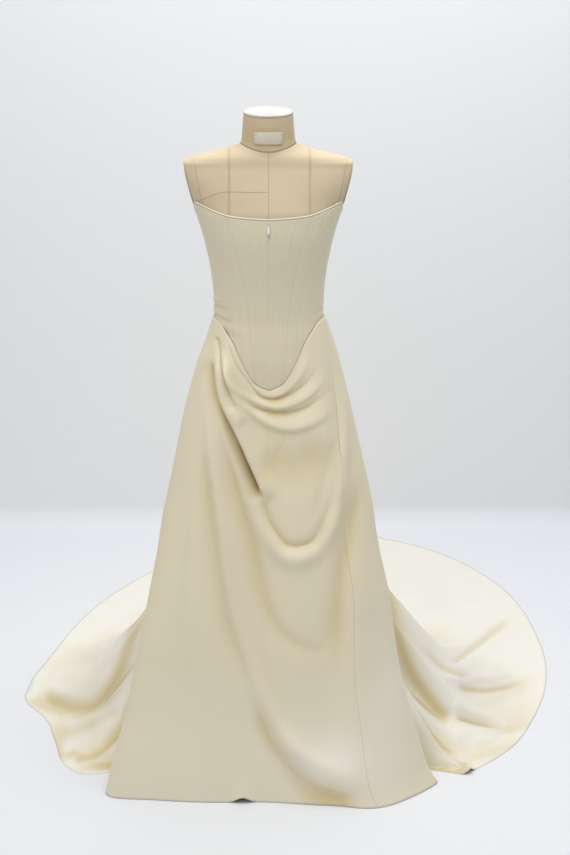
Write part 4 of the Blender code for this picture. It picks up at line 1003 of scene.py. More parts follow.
def fine_angles(panel):
    """The hem angles of a panel's fine threads, with a few close to each seam for the groove there."""
    steps = FINE_COLUMNS[panel.panel] - 2 * len(SEAM_STEPS)
    fine = np.linspace(panel.start, panel.end, 800)
    crowd = LANDING_CROWD * ramp(54, 62, np.abs(fine)) * (1 - ramp(112, 125, np.abs(fine)))
    for flute in FLUTES:
        away = (fine - flute.hem_angle + 180) % 360 - 180
        need = FINE_CROWDING * abs(flute.lift) / math.radians(flute.hem_width)
        crowd = np.maximum(crowd, need * np.exp(-((away / flute.hem_width / 1.3) ** 2)))
    total = np.concatenate([[0], np.cumsum(1 + (crowd[1:] + crowd[:-1]) / 2)])
    angles = np.interp(np.linspace(0, total[-1], steps + 1), total, fine)
    near = [panel.start + step for step in SEAM_STEPS] + [panel.end - step for step in SEAM_STEPS]
    return np.sort(np.concatenate([angles, near]))


def seen_distance(points, path):
    """For each point seen from the front: how far it is from a fold's line, on which side, and how far along."""
    start, step = path[:-1], np.diff(path, axis=0)
    along = ((points[:, None, :] - start) * step).sum(-1) / (step**2).sum(-1)
    along = np.clip(along, 0, 1)
    offset = points[:, None, :] - start - along[..., None] * step
    away = np.linalg.norm(offset, axis=-1)
    nearest = away.argmin(axis=-1)
    pick = np.arange(len(points))
    gap = away[pick, nearest]
    way = step[nearest] / np.linalg.norm(step[nearest], axis=-1, keepdims=True)
    side = np.sign(way[:, 0] * offset[pick, nearest, 1] - way[:, 1] * offset[pick, nearest, 0])
    run = (nearest + along[pick, nearest]) / (len(path) - 1)
    return gap, side, run, way


def fine_drape(points, facing):
    """How the draped front's folds move each point: out from the skirt, and over towards their lower side.

    The last value is the painted shade of each point, from how deep in a hollow it lies.
    """
    shape = points.shape[:-1]
    lift, slide, shade = np.zeros(shape), np.zeros(shape + (2,)), np.zeros(shape)
    chosen = facing > 0.001
    seen = points[chosen][:, [0, 2]]
    own_lift, own_slide, own_shade = np.zeros(len(seen)), np.zeros((len(seen), 2)), np.zeros(len(seen))
    for fold in FINE_FOLDS:
        path = fold_path([fold.hip, fold.flank, fold.low, fold.bend, fold.rise])
        gap, side, run, way = seen_distance(seen, path)
        width = np.where(side > 0, fold.above, fold.below)
        ends = ramp(0, fold.start, run) * (1 - ramp(fold.stop, 1.0, run))
        bump = np.exp(-((gap / width) ** fold.power)) * ends
        own_lift += FOLD_FULLNESS * fold.lift * bump
        own_slide += np.stack([way[:, 1], -way[:, 0]], axis=-1) * (fold.roll * bump)[:, None]
        own_shade = np.maximum(own_shade, -fold.lift / HOLLOW_FULL_DEPTH * bump)
    lift[chosen], slide[chosen], shade[chosen] = own_lift, own_slide, own_shade
    return lift, slide, shade


def camera_view(points):
    """Where the camera sees each point, on a plane at VIEW_DISTANCE."""
    turn = np.array(Matrix.Rotation(CAMERA_PAN, 3, "Z") @ Matrix.Rotation(CAMERA_PITCH, 3, "X"))
    seen = (points - np.array(CAMERA_PLACE)) @ turn
    return seen[..., [0, 2]] / seen[..., [1]] * VIEW_DISTANCE


def train_lift(points, chosen):
    """How the folds of the train and of the skirt's sides lift the chosen points, and the painted shade each fold lays
    on them.
    """
    lift = np.zeros(points.shape[:-1])
    seen, far = camera_view(points[chosen]), points[chosen][:, 1]
    own, own_shade, shade = np.zeros(len(seen)), np.zeros(len(seen)), np.zeros(points.shape[:-1])
    for fold in TRAIN_FOLDS:
        gap, side, run, _ = seen_distance(seen, fold_path(fold.points))
        width = np.where(side > 0, fold.above, fold.below)
        ends = ramp(0, fold.start, run) * (1 - ramp(fold.stop, 1.0, run))
        bump = np.exp(-((gap / width) ** 2)) * ends * (1 - ramp(fold.back_to - 0.1, fold.back_to, far))
        own += fold.lift * bump
        own_shade = np.maximum(own_shade, fold.shade * bump)
    lift[chosen], shade[chosen] = own, own_shade
    return lift, shade


def fine_skirt(thickness):
    """The whole skirt as one closed grid of fine threads, with each panel's first column."""
    panels = sorted(SKIRT_PANELS, key=lambda panel: panel.start)
    angles, first = [], []
    for panel in panels:
        first.append(len(angles))
        angles += list(fine_angles(panel)[:-1])
    angles = np.array(angles)
    shares = fine_shares()
    points = np.zeros((len(shares), len(angles), 3))
    for i, angle in enumerate(angles):
        line, run = skirt_line(angle)
        for axis in range(3):
            points[:, i, axis] = np.interp(shares, run, line[:, axis])
    angle, share = np.broadcast_arrays(angles[None, :], shares[:, None])
    straight = straightness(angle)
    upright = np.maximum(ramp(0.0, 0.12, points[..., 2]), straight)
    outward = points * [1, 1, 0]
    outward /= np.linalg.norm(outward, axis=-1, keepdims=True)
    way = outward * upright[..., None] + np.array([0, 0, 1]) * (1 - upright)[..., None]
    facing = ramp(0.1, 0.5, -outward[..., 1]) * ramp(-70, -56, angle) * (1 - ramp(40, 56, angle))
    near_waist = ramp(0, 0.03, share)
    drape, slide, shade = fine_drape(points, facing)
    forward = outward + np.array([0, -FORWARD_PULL, 0])
    forward /= np.linalg.norm(forward, axis=-1, keepdims=True)
    moved = points + way * (flute_lift(angle, share) * near_waist)[..., None]
    moved += forward * (drape * facing * near_waist)[..., None]
    moved[..., 0] += slide[..., 0] * facing * near_waist
    moved[..., 2] += slide[..., 1] * facing * near_waist * ramp(0.02, 0.10, points[..., 2])
    side = (straight < 0.99) & (moved[..., 2] < 0.75) & (np.abs(angle) < 165)
    swell, side_shade = train_lift(moved, side)
    upright = ramp(0.15, 0.45, moved[..., 2])[..., None]
    way = outward * upright + np.array([0, 0, 1]) * (1 - upright)
    moved += way * (swell * (1 - straight))[..., None]
    shade = np.clip(shade * facing + side_shade * (1 - straight), 0, 1)
    moved = hem_lifted(moved)
    moved[..., 2] = np.maximum(moved[..., 2], 0)
    order = np.concatenate([[-1], np.arange(len(angles)), [0, 1]])
    wrapped = moved[:, order]
    normal = grid_normals(wrapped)
    normal[0, :, 2] = 0
    normal[0] /= np.linalg.norm(normal[0], axis=-1, keepdims=True)
    wall = thickness + (CLOTH_WALL - thickness) * ramp(0, 0.05, wrapped[..., 2])
    outer = wrapped + normal * wall[..., None]
    outer[..., 2] = np.maximum(outer[..., 2], wrapped[..., 2])
    return panels, first, angles, outer[:, 1:-1], shade


def hem_lifted(points):
    """The hem arched up off the floor where the cloth has a little too much length."""
    points = points.copy()
    for arch in HEM_LIFTS:
        away = np.hypot(points[..., 0] - arch.x, (points[..., 1] - arch.y) * 0.25)
        high = arch.height * np.exp(-((away / arch.reach) ** 2)) * np.exp(-points[..., 2] / 0.030)
        points[..., 2] += high
        points[..., 1] -= high * 0.35
    return points


def fold_depth(outer):
    """0 on open cloth and 1 deep in a fold, from how far each point lies under the cloth round it."""
    normal = grid_normals(outer)
    depth = np.zeros(outer.shape[:-1])
    rows = np.arange(len(outer))
    for reach in (2, 4, 8, 14):
        left, right = np.roll(outer, reach, axis=1), np.roll(outer, -reach, axis=1)
        above = outer[np.maximum(rows - reach, 0)]
        below = outer[np.minimum(rows + reach, len(outer) - 1)]
        for one, other in ((left, right), (above, below)):
            span = np.linalg.norm(other - one, axis=-1) + 1e-6
            depth = np.maximum(depth, (((one + other) / 2 - outer) * normal).sum(-1) / span)
    return ramp(0.02, 0.26, depth)


def skirt_sheets(settings, material):
    """The skirt's panels as thin cloth, cut from one grid so that their folds run on over the seams."""
    panels, first, angles, outer, shade = fine_skirt(settings.cloth_thickness)
    shade = np.concatenate([shade, shade[:, :1]], axis=1)
    straight = straightness(np.append(angles, angles[0]))
    # Painted shade: more of the shade colour the deeper a point lies in a fold, and along the folds that lay shade
    depth = np.maximum(fold_depth(outer), shade)
    made = []
    for panel, begin in zip(panels, first):
        end = begin + FINE_COLUMNS[panel.panel] + 1
        part, hollow = outer[:, begin:end], depth[:, begin:end]
        normal = grid_normals(part)
        normal[0, :, 2] = 0
        normal[0] /= np.linalg.norm(normal[0], axis=-1, keepdims=True)
        part = part_at_seams(turned_in(part, normal, run_round(part), SKIRT_SEAM_TURN_IN))
        down = run_down(part)
        part = part - normal * (WAIST_TURN_IN * np.exp(-((down / WAIST_TURN_REACH) ** 2)))[..., None]
        part[..., 2] = np.maximum(part[..., 2], settings.cloth_thickness)
        inner = part - normal * settings.cloth_thickness
        normal[inner[..., 2] < 0] = (0, 0, 1)
        # Painted shade on upright cloth: the straight front, a little less near the floor, and the cloth standing above
        # the floor towards the front
        landing = ramp(0.05, 0.30, part[..., 2]) * ramp(-0.35, 0.15, -part[..., 1])
        upright_shade_mask = np.maximum(straight[begin:end] * (0.80 + 0.20 * ramp(0.0, 0.4, part[..., 2])), landing)
        # Painted sheen: the upright painted shade taken back in soft patches on the front
        for patch in PAINTED_SHEEN_PATCHES:
            away = ((part[..., 0] - patch.x) / patch.reach) ** 2 + ((part[..., 2] - patch.height) / patch.rise) ** 2
            upright_shade_mask = upright_shade_mask * (1 - patch.share * np.exp(-away) * (part[..., 1] < 0))
        hollow = np.maximum(hollow, SHADE_ON_UPRIGHT_SATIN * upright_shade_mask + hollow * (1 - SHADE_ON_UPRIGHT_SATIN))
        down = run_down(part)
        piece = cloth_sheet(
            f"satin_{panel.panel}", part, normal, settings.cloth_thickness, hollow, material, down[-1] - down
        )
        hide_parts(panel.panel)
        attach(piece, "root")
        made.append((piece, cut_size(part), part))
    return made


# Dress form


def neck_dip(points):
    """How much lower the neck seam runs here than at the sides: it dips at the front."""
    reach = np.hypot(points[..., 0], points[..., 1])
    return NECK_SEAM_DIP * np.maximum(0, -points[..., 1] / reach) ** 2


def form_surface(angle, height):
    """The form's skin with its armholes flat, and the way out."""
    skin, out = body_point(angle, height)
    flat = skin.copy()
    for side in (-1, 1):
        normal = np.array([side * math.cos(ARM_PLANE_LEAN), 0, -math.sin(ARM_PLANE_LEAN)])
        point = np.array(ARM_PLANE_POINT) * [side, 1, 1]
        past = (flat - point) @ normal
        soft = 0.0012
        over = soft * np.logaddexp(0, past / soft)
        flat = flat - normal * over[..., None]
    flat[..., 2] -= neck_dip(flat) * ramp(1.405, NECK_BASE_HEIGHT, flat[..., 2])
    return flat, out


def form_body(settings, material):
    """The padded torso under its linen cover."""
    angles = np.linspace(-180, 180, TORSO_FINE_COLUMNS + 1)[:-1]
    heights = np.concatenate(
        [
            np.linspace(FORM_FOOT_HEIGHT, 1.36, TORSO_FINE_ROWS // 2, endpoint=False),
            np.linspace(1.36, NECK_BASE_HEIGHT, TORSO_FINE_ROWS // 2),
        ]
    )
    points, _ = form_surface(np.tile(angles, (len(heights), 1)), np.tile(heights[:, None], (1, len(angles))))
    rows, columns = points.shape[:2]
    faces = []
    for j in range(rows - 1):
        for i in range(columns):
            k = (i + 1) % columns
            faces.append((j * columns + i, j * columns + k, (j + 1) * columns + k, (j + 1) * columns + i))
    faces.append(tuple(range(columns - 1, -1, -1)))
    faces.append(tuple((rows - 1) * columns + i for i in range(columns)))
    piece = mesh_piece("linen_torso", points.reshape(-1, 3), faces)
    piece.data.materials.append(material)
    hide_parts("form_torso")
    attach(piece, "root")
    return piece


def form_neck_piece(material):
    """The neck under its linen cover, flaring softly into the shoulders."""
    foot = NECK_BASE_HEIGHT + SEAM_GAP
    top = NECK_TOP_HEIGHT - NECK_CAP_THICKNESS
    steps, rows = 96, 26
    turns = 2 * math.pi * np.arange(steps) / steps
    rings = []
    for share in np.linspace(0, 1, rows):
        tilt = NECK_TOP_TILT * ramp(0.55, 1.0, share)
        height = foot + (top - foot) * share
        radius = neck_radius(height)
        if share in (0.0, 1.0):
            radius -= 0.0006
        x, y = radius * np.sin(turns), -radius * np.cos(turns)
        ring = np.stack([x, y * np.cos(tilt), height + y * np.sin(tilt)], axis=-1)
        ring[:, 2] -= neck_dip(ring) * (1 - ramp(0, 0.5, share))
        rings.append(ring)
    points = np.concatenate(rings)
    faces = []
    for j in range(rows - 1):
        for i in range(steps):
            k = (i + 1) % steps
            faces.append((j * steps + i, j * steps + k, (j + 1) * steps + k, (j + 1) * steps + i))
    faces.append(tuple(range(steps - 1, -1, -1)))
    faces.append(tuple((rows - 1) * steps + i for i in range(steps)))
    piece = mesh_piece("linen_neck", points, faces)
    piece.data.materials.append(material)
    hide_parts("form_neck")
    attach(piece, "root")
    return piece


def neck_radius(height):
    low, high = NECK_BASE_HEIGHT, NECK_TOP_HEIGHT
    share = (height - low) / (high - low)
    flare = 0.0025 * max(0.0, 1 - share * 4) ** 2
    return NECK_BASE_RADIUS * 0.965 + (NECK_TOP_RADIUS - NECK_BASE_RADIUS * 0.965) * share + flare


def side_line(x, front, heights):
    """A line down the form at one distance from its middle, on the front or the back."""
    places = []
    for height in heights:
        half = float(smooth_curve(height, column(BODY, "height"), column(BODY, "half_width")))
        square = float(smooth_curve(height, column(BODY, "height"), column(BODY, "square")))
        if abs(x) >= half * 0.995:
            continue
        angle = math.degrees(math.asin((abs(x) / half) ** (square / 2)))
        angle = angle if front else 180 - angle
        places.append(form_surface(np.array([math.copysign(angle, x)]), np.array([height]))[0][0])
    return places


def arm_line(side, heights):
    """The seam that runs beside an armhole, front and back, further in from its flat towards the shoulder."""
    normal = np.array([side * math.cos(ARM_PLANE_LEAN), 0, -math.sin(ARM_PLANE_LEAN)])
    point = np.array(ARM_PLANE_POINT) * [side, 1, 1]
    fronts, backs = [], []
    for height in heights:
        inset = ARM_SEAM_INSET[side > 0] + 0.004 * float(ramp(1.32, 1.41, height))
        for part, store in (((0, 90), fronts), ((180, 90), backs)):
            angles = np.linspace(part[0], part[1], 240) * side
            skin, _ = body_point(angles, np.full(angles.shape, height))
            near = np.abs((skin - point) @ normal + inset)
            if near.min() < 0.002:
                store.append(skin[near.argmin()])
    return fronts + backs[::-1]


def linen_seams(settings, material):
    """The dark cords in the seams of the form's cover."""
    lines = []
    long = np.linspace(0.775, 1.4485, 130)
    lines.append(form_surface(np.zeros_like(long), long)[0])
    lines.append(form_surface(np.full_like(long, 180.0), long)[0])
    shoulder = np.concatenate([np.linspace(0.775, 1.40, 110), np.linspace(1.401, 1.4395, 40)])
    for middle in (-0.0880, 0.0930):
        for x in (middle - PRINCESS_CORD_GAP / 2, middle + PRINCESS_CORD_GAP / 2):
            lines.append(np.array(side_line(x, True, shoulder) + side_line(x, False, shoulder)[::-1]))
    high = np.linspace(1.285, 1.4155, 60)
    for side in (-1, 1):
        lines.append(np.array(arm_line(side, high)))
    angles = np.linspace(-62, -0.6, 60)
    chest = 1.3470 - 0.022 * ramp(25, 62, -angles)
    lines.append(form_surface(angles, chest)[0])
    ring = np.linspace(-180, 180, 121)[:-1]
    pieces = []
    for i, line in enumerate(lines):
        if len(line) > 3:
            pieces.append(tube(f"seam_cord_{i}", line, settings.tape_width, sides=8))
    hoop = np.stack(
        [
            0.0638 * np.sin(np.radians(ring)),
            -0.0638 * np.cos(np.radians(ring)),
            np.full(len(ring), NECK_BASE_HEIGHT + 0.0004),
        ],
        axis=-1,
    )
    hoop[:, 2] -= neck_dip(hoop)
    pieces.append(tube("seam_cord_neck", hoop, 0.0008, sides=8, closed=True))
    clear_selection()
    for piece in pieces:
        piece.select_set(True)
    bpy.context.view_layer.objects.active = pieces[0]
    bpy.ops.object.join()
    joined = settle(bpy.context.object, "linen_seam_cords")
    joined.data.materials.clear()
    joined.data.materials.append(material)
    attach(joined, "root")
    return joined


def neck_cap(material):
    """The white cap on the neck, with a soft edge, tilted as the neck is."""
    foot = NECK_TOP_HEIGHT - NECK_CAP_THICKNESS + SEAM_GAP
    radius = NECK_TOP_RADIUS
    profile = [
        (radius * 0.985, 0.0),
        (radius * 1.008, 0.0006),
        (radius * 1.015, 0.0018),
        (radius * 1.013, 0.0034),
        (radius * 0.998, 0.0046),
        (radius * 0.965, 0.0054),
        (radius * 0.900, 0.00575),
        (radius * 0.50, 0.0060),
        (radius * 0.08, 0.0060),
    ]
    cap = turned_solid("white_neck_cap", profile, 96)
    cap.rotation_euler = (NECK_TOP_TILT, 0, 0)
    cap.location = (0, 0, foot)
    settle(cap, "white_neck_cap")
    cap.data.materials.append(material)
    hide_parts("form_neck_cap")
    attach(cap, "root")
    return cap


def arm_plates(material):
    """The covered plates that close the armholes, each drawn out from its outline with a rounded rim."""
    for side, node in ((-1, "form_arm_plate_left"), (1, "form_arm_plate_right")):
        low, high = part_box(node)
        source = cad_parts[node]
        clear_selection()
        plate = source.copy()
        plate.data = source.data.copy()
        bpy.context.scene.collection.objects.link(plate)
        plate.parent = None
        plate.hide_render = plate.hide_viewport = False
        for key in list(plate.keys()):
            del plate[key]
        clear_selection()
        plate.select_set(True)
        bpy.context.view_layer.objects.active = plate
        bpy.ops.object.mode_set(mode="EDIT")
        bpy.ops.mesh.select_all(action="SELECT")
        bpy.ops.mesh.remove_doubles(threshold=1e-5)
        bpy.ops.mesh.dissolve_limited(angle_limit=math.radians(0.5))
        bpy.ops.object.mode_set(mode="OBJECT")
        way = Vector((side * math.cos(ARM_PLANE_LEAN), 0, -math.sin(ARM_PLANE_LEAN)))
        faces_where(plate, lambda centre, normal: normal.dot(way) > 0.9)
        bpy.ops.transform.translate(value=-way * ARM_PLATE_SLIMMER)
        bpy.ops.object.mode_set(mode="OBJECT")
        applied_bevel(plate, 0.0011, 4)
        settle(plate, f"linen_arm_plate_{'left' if side < 0 else 'right'}")
        bpy.ops.object.shade_smooth_by_angle(angle=math.radians(40))
        plate.data.materials.clear()
        plate.data.materials.append(material)
        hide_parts(node)
        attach(plate, "root")


def bare_plate(plate_material, pin_material):
    """The bare plate on the neck, spun round it from one upright strip, and the pins at its corners."""
    half_turn = NAME_PLATE_SIZE[0] / 2 / neck_radius(NAME_PLATE_HEIGHT)
    low, high = (NAME_PLATE_HEIGHT + side * NAME_PLATE_SIZE[1] / 2 for side in (-1, 1))
    inner = (neck_radius(low) + neck_radius(high)) / 2 + SEAM_GAP
    clear_selection()
    bpy.ops.mesh.primitive_plane_add(size=1.0, rotation=(math.pi / 2, 0, math.pi / 2))
    plate = bpy.context.object
    plate.scale = (NAME_PLATE_THICKNESS, NAME_PLATE_SIZE[1], 1)
    plate.rotation_euler = (math.pi / 2, 0, math.pi / 2)
    settle(plate, "bare_neck_plate")
    plate.location = (0, -(inner + NAME_PLATE_THICKNESS / 2), NAME_PLATE_HEIGHT)
    settle(plate, "bare_neck_plate")
    plate.rotation_euler = (0, 0, half_turn)
    settle(plate, "bare_neck_plate")
    bpy.ops.object.mode_set(mode="EDIT")
    bpy.ops.mesh.select_all(action="SELECT")
    bpy.ops.mesh.spin(steps=32, angle=2 * half_turn, center=(0, 0, 0), axis=(0, 0, 1))
    bpy.ops.mesh.select_all(action="SELECT")
    bpy.ops.mesh.remove_doubles(threshold=1e-6)
    bpy.ops.mesh.normals_make_consistent(inside=False)
    bpy.ops.object.mode_set(mode="OBJECT")
    applied_bevel(plate, 0.0003, 2)
    bpy.ops.object.shade_smooth_by_angle(angle=math.radians(30))
    settle(plate, "bare_neck_plate")
    plate.data.materials.append(plate_material)
    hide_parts("form_name_plate")
    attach(plate, "root")
    profile = [(0.0012, 0.0), (0.0016, 0.0002), (0.0017, 0.0006), (0.0014, 0.0010), (0.0008, 0.0013), (0.0002, 0.00135)]
    for i, (side, rise) in enumerate(((-1, -1), (-1, 1), (1, -1), (1, 1))):
        pin = turned_solid(f"plate_pin_{i}", profile, 20, 60)
        turn = side * (half_turn - 0.0038 / inner)
        height = NAME_PLATE_HEIGHT + rise * (NAME_PLATE_SIZE[1] / 2 - 0.0038)
        pin.rotation_euler = (math.pi / 2, 0, turn)
        reach = inner + NAME_PLATE_THICKNESS + 0.0001
        pin.location = (reach * math.sin(turn), -reach * math.cos(turn), height)
        settle(pin, f"plate_pin_{i}")
        pin.data.materials.append(pin_material)
        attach(pin, "root")


def stand_pieces(steel, wood):
    """The pole with its collar and the round foot plate, turned, and the board under the torso."""
    board_top = FORM_FOOT_HEIGHT - SEAM_GAP
    pole_top = board_top - BOARD_THICKNESS - SEAM_GAP
    collar = pole_top - POLE_COLLAR_HEIGHT
    pole = turned_solid(
        "steel_pole",
        [
            (POLE_RADIUS, STAND_BOSS_HEIGHT + SEAM_GAP),
            (POLE_RADIUS, collar - 0.0012),
            (POLE_COLLAR_RADIUS * 0.72, collar),
            (POLE_COLLAR_RADIUS * 0.75, collar + 0.0010),
            (POLE_COLLAR_RADIUS * 0.75, pole_top - 0.012),
            (POLE_COLLAR_RADIUS * 0.97, pole_top - 0.0085),
            (POLE_COLLAR_RADIUS, pole_top - 0.0070),
            (POLE_COLLAR_RADIUS, pole_top),
        ],
    )
    plate = turned_solid(
        "steel_foot_plate",
        [
            (STAND_PLATE_RADIUS - 0.0010, 0.0),
            (STAND_PLATE_RADIUS, 0.0010),
            (STAND_PLATE_RADIUS, STAND_PLATE_THICKNESS * 0.66),
            (STAND_PLATE_RADIUS - 0.0012, STAND_PLATE_THICKNESS * 0.90),
            (STAND_PLATE_RADIUS - 0.0040, STAND_PLATE_THICKNESS),
            (STAND_BOSS_RADIUS + 0.012, STAND_PLATE_THICKNESS),
            (STAND_BOSS_RADIUS + 0.004, STAND_PLATE_THICKNESS + 0.004),
            (STAND_BOSS_RADIUS, STAND_PLATE_THICKNESS + 0.010),
            (STAND_BOSS_RADIUS * 0.87, STAND_BOSS_HEIGHT - 0.0015),
            (STAND_BOSS_RADIUS * 0.80, STAND_BOSS_HEIGHT),
        ],
        96,
    )
    for piece, node in ((pole, "stand_pole"), (plate, "stand_plate")):
        piece.data.materials.append(steel)
        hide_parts(node)
        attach(piece, "root")
    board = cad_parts["form_board"]
    board.material_slots[0].material = wood


# Trims


def pendant_pieces(steel, pearl_material, crystal_material):
    """The sewn ring, the long pearl on its eye, and the cut crystal under it."""
    ring_height = float(edge_height(NECKLINE, 0)) - RING_DROP
    skin, _ = body_point(np.array([0.0]), np.array([ring_height]))
    cloth = float(skin[0][1]) - BODY_GAP - CLOTH_WALL
    y = cloth - SEAM_GAP - RING_WIRE - SEWN_RING_RADIUS
    pivot = ring_height - SEWN_RING_RADIUS
    eye_middle = 2 * RING_WIRE + RING_PLAY - EYE_RADIUS
    pearl_top = eye_middle - EYE_RADIUS
    ring = spun_hoop("sewn_ring", SEWN_RING_RADIUS, RING_WIRE, (0, y, ring_height), math.pi / 2)
    ring.data.materials.append(steel)
    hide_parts("pendant_ring")
    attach(ring, "root")
    rises, shares = zip(*PEARL_PROFILE)
    fine = np.linspace(0, 1, 26)
    radii = PEARL_RADIUS * smooth_curve(fine, rises, shares)
    profile = [(0.0003, pearl_top - PEARL_LENGTH)]
    profile += [(float(r), pearl_top - PEARL_LENGTH * (1 - float(f))) for f, r in zip(fine, radii)]
    profile += [(0.0003, pearl_top + 0.0001)]
    pearl = turned_solid("drop_pearl", profile, 40, 70)
    pearl.location = (0, y, pivot)
    settle(pearl, "drop_pearl")
    pearl.data.materials.append(pearl_material)
    eye = spun_hoop("pearl_eye", EYE_RADIUS, RING_WIRE, (0, y, pivot + eye_middle))
    eye.data.materials.append(steel)
    cup = turned_solid(
        "pearl_cup",
        [(0.0013, -0.0022), (0.0014, -0.0012), (0.0011, -0.0004), (0.0007, 0.0002), (0.0003, 0.0004)],
        24,
    )
    cup.location = (0, y, pivot + pearl_top + 0.0003)
    settle(cup, "pearl_cup")
    cup.data.materials.append(steel)
    crystal_top = pearl_top - PEARL_LENGTH - SEAM_GAP
    cut = [(0.30, 0.0), (0.62, 0.10), (1.0, 0.36), (1.0, 0.60), (0.66, 0.88), (0.30, 1.0)]
    profile = [
        (CRYSTAL_RADIUS * share, crystal_top - CRYSTAL_LENGTH * (1 - rise)) for share, rise in cut
    ]
    crystal = turned_solid("cut_crystal", profile, 9, 5)
    applied_bevel(crystal, 0.00012, 1, math.radians(12))
    crystal.location = (0, y, pivot)
    settle(crystal, "cut_crystal")
    crystal.data.materials.append(crystal_material)
    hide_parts("pendant_pearl")
    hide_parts("pendant_crystal")
    for piece, slot_name in ((pearl, "pearl"), (eye, "steel"), (cup, "steel"), (crystal, "crystal")):
        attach(piece, "pendant_drop")


def centre_back(height):
    skin, _ = body_point(np.array([180.0]), np.array([height]))
    return skin[0][1] + BODY_GAP + CLOTH_WALL


def zip_pieces(enamel):
    """The slider, with its raised bridge, and the pull tab with a shallow inset panel on each face."""
    top = float(edge_height(NECKLINE, 180)) - SLIDER_DROP
    back = max(centre_back(top - SLIDER_SIZE[2] / 2), centre_back(top + SLIDER_SIZE[2] / 2))
    y = back + SEAM_GAP + SLIDER_SIZE[1] / 2 + 0.0002
    clear_selection()
    bpy.ops.mesh.primitive_cube_add(size=1.0)
    slider = bpy.context.object
    slider.scale = (SLIDER_SIZE[0], SLIDER_SIZE[1] * 0.8, SLIDER_SIZE[2])
    settle(slider, "zip_slider_body")
    faces_where(slider, lambda centre, normal: normal.z < -0.9)
    bpy.ops.transform.resize(value=(0.74, 1, 1))
    faces_where(slider, lambda centre, normal: normal.y > 0.9)
    bpy.ops.mesh.inset(thickness=0.0012, depth=0)
    bpy.ops.transform.resize(value=(0.55, 1, 1))
    bpy.ops.mesh.extrude_region_move(TRANSFORM_OT_translate={"value": (0, SLIDER_SIZE[1] * 0.2, 0)})
    bpy.ops.object.mode_set(mode="OBJECT")
    applied_bevel(slider, 0.00035, 3)
    slider.location = (0, y - SLIDER_SIZE[1] * 0.1, top)
    settle(slider, "zip_slider_body")
    bpy.ops.object.shade_smooth_by_angle(angle=math.radians(35))
    tab_y = y + SLIDER_SIZE[1] / 2 + SEAM_GAP + TAB_THICKNESS / 2 + 0.0004
    pivot = top + SLIDER_SIZE[2] * 0.25
    clear_selection()
    bpy.ops.mesh.primitive_cube_add(size=1.0)
    tab = bpy.context.object
    length = TAB_LENGTH + TAB_RISE
    tab.scale = (TAB_WIDTH, TAB_THICKNESS, length)
    tab.location = (0, 0, TAB_RISE - length / 2)
    settle(tab, "zip_pull_tab")
    faces_where(tab, lambda centre, normal: normal.z < -0.9)
    bpy.ops.transform.resize(value=(1.44, 1, 1))
    bpy.ops.mesh.extrude_region_move(TRANSFORM_OT_translate={"value": (0, 0, -TAB_WIDTH * 0.45)})
    bpy.ops.transform.resize(value=(0.70, 1, 1))
    bpy.ops.mesh.extrude_region_move(TRANSFORM_OT_translate={"value": (0, 0, -TAB_WIDTH * 0.22)})
    bpy.ops.transform.resize(value=(0.45, 1, 1))
    faces_where(tab, lambda centre, normal: abs(normal.y) > 0.9 and centre.z > -length)
    bpy.ops.mesh.inset(thickness=0.0009, depth=0, use_individual=True)
    bpy.ops.mesh.extrude_region_shrink_fatten(TRANSFORM_OT_shrink_fatten={"value": -0.00018})
    bpy.ops.object.mode_set(mode="OBJECT")
    applied_bevel(tab, 0.00022, 2)
    tab.location = (0, tab_y, pivot)
    settle(tab, "zip_pull_tab")
    bpy.ops.object.shade_smooth_by_angle(angle=math.radians(35))
    for piece, node, body in ((slider, "zip_slider", "root"), (tab, "zip_tab", "zip_pull")):
        piece.data.materials.append(enamel)
        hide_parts(node)
        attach(piece, body)


def zip_coil(material):
    """The ridge of the closed zip's coil, sunk in the seam at the centre back."""
    heights = np.arange(float(edge_height(NECKLINE, 180)) - 0.004, 1.034, -0.0005)
    skin, _ = body_point(np.full(heights.shape, 180.0), heights)
    path = skin + np.array([0, BODY_GAP + CLOTH_WALL * 0.42, 0])
    radius = 0.00042 + 0.00016 * (np.arange(len(path)) % 2)
    coil = tube("zip_coil", path, radius, sides=8)
    coil.data.materials.append(material)
    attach(coil, "root")
    return coil


def stitch_rows(name, rows, length, width, step, material):
    """Small stitches along lines on the cloth, each a short padded bar that dips in at its ends."""
    points, faces = [], []
    for path, out in rows:
        run = np.concatenate([[0], np.cumsum(np.linalg.norm(np.diff(path, axis=0), axis=1))])
        for start in np.arange(step / 2, run[-1] - length, step):
            ends = [np.array([np.interp(start + s * length, run, path[:, k]) for k in range(3)]) for s in (0, 0.5, 1)]
            normal = np.array([np.interp(start + length / 2, run, out[:, k]) for k in range(3)])
            normal /= np.linalg.norm(normal)
            way = ends[2] - ends[0]
            way /= np.linalg.norm(way)
            side = np.cross(normal, way)
            base = len(points)
            for place, high, wide in ((ends[0], -0.10, 0.25), (ends[1], 0.32, 0.5), (ends[2], -0.10, 0.25)):
                middle = place + normal * high * width
                points += [
                    middle - side * width * wide,
                    middle + normal * width * 0.5,
                    middle + side * width * wide,
                    middle - normal * width * 0.5,
                ]
            for j in (0, 4):
                for k in range(4):
                    n = (k + 1) % 4
                    faces.append((base + j + k, base + j + n, base + j + 4 + n, base + j + 4 + k))
            faces.append((base + 3, base + 2, base + 1, base))
            faces.append((base + 8, base + 9, base + 10, base + 11))
    piece = mesh_piece(name, points, faces)
    shape = bmesh.new()
    shape.from_mesh(piece.data)
    bmesh.ops.recalc_face_normals(shape, faces=shape.faces)
    shape.to_mesh(piece.data)
    shape.free()
    piece.data.materials.append(material)
    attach(piece, "root")
    return piece


# Materials


def new_material(name):
    material = bpy.data.materials.new(name)
    material.use_nodes = True
    tree = material.node_tree
    return material, tree, tree.nodes["Principled BSDF"]


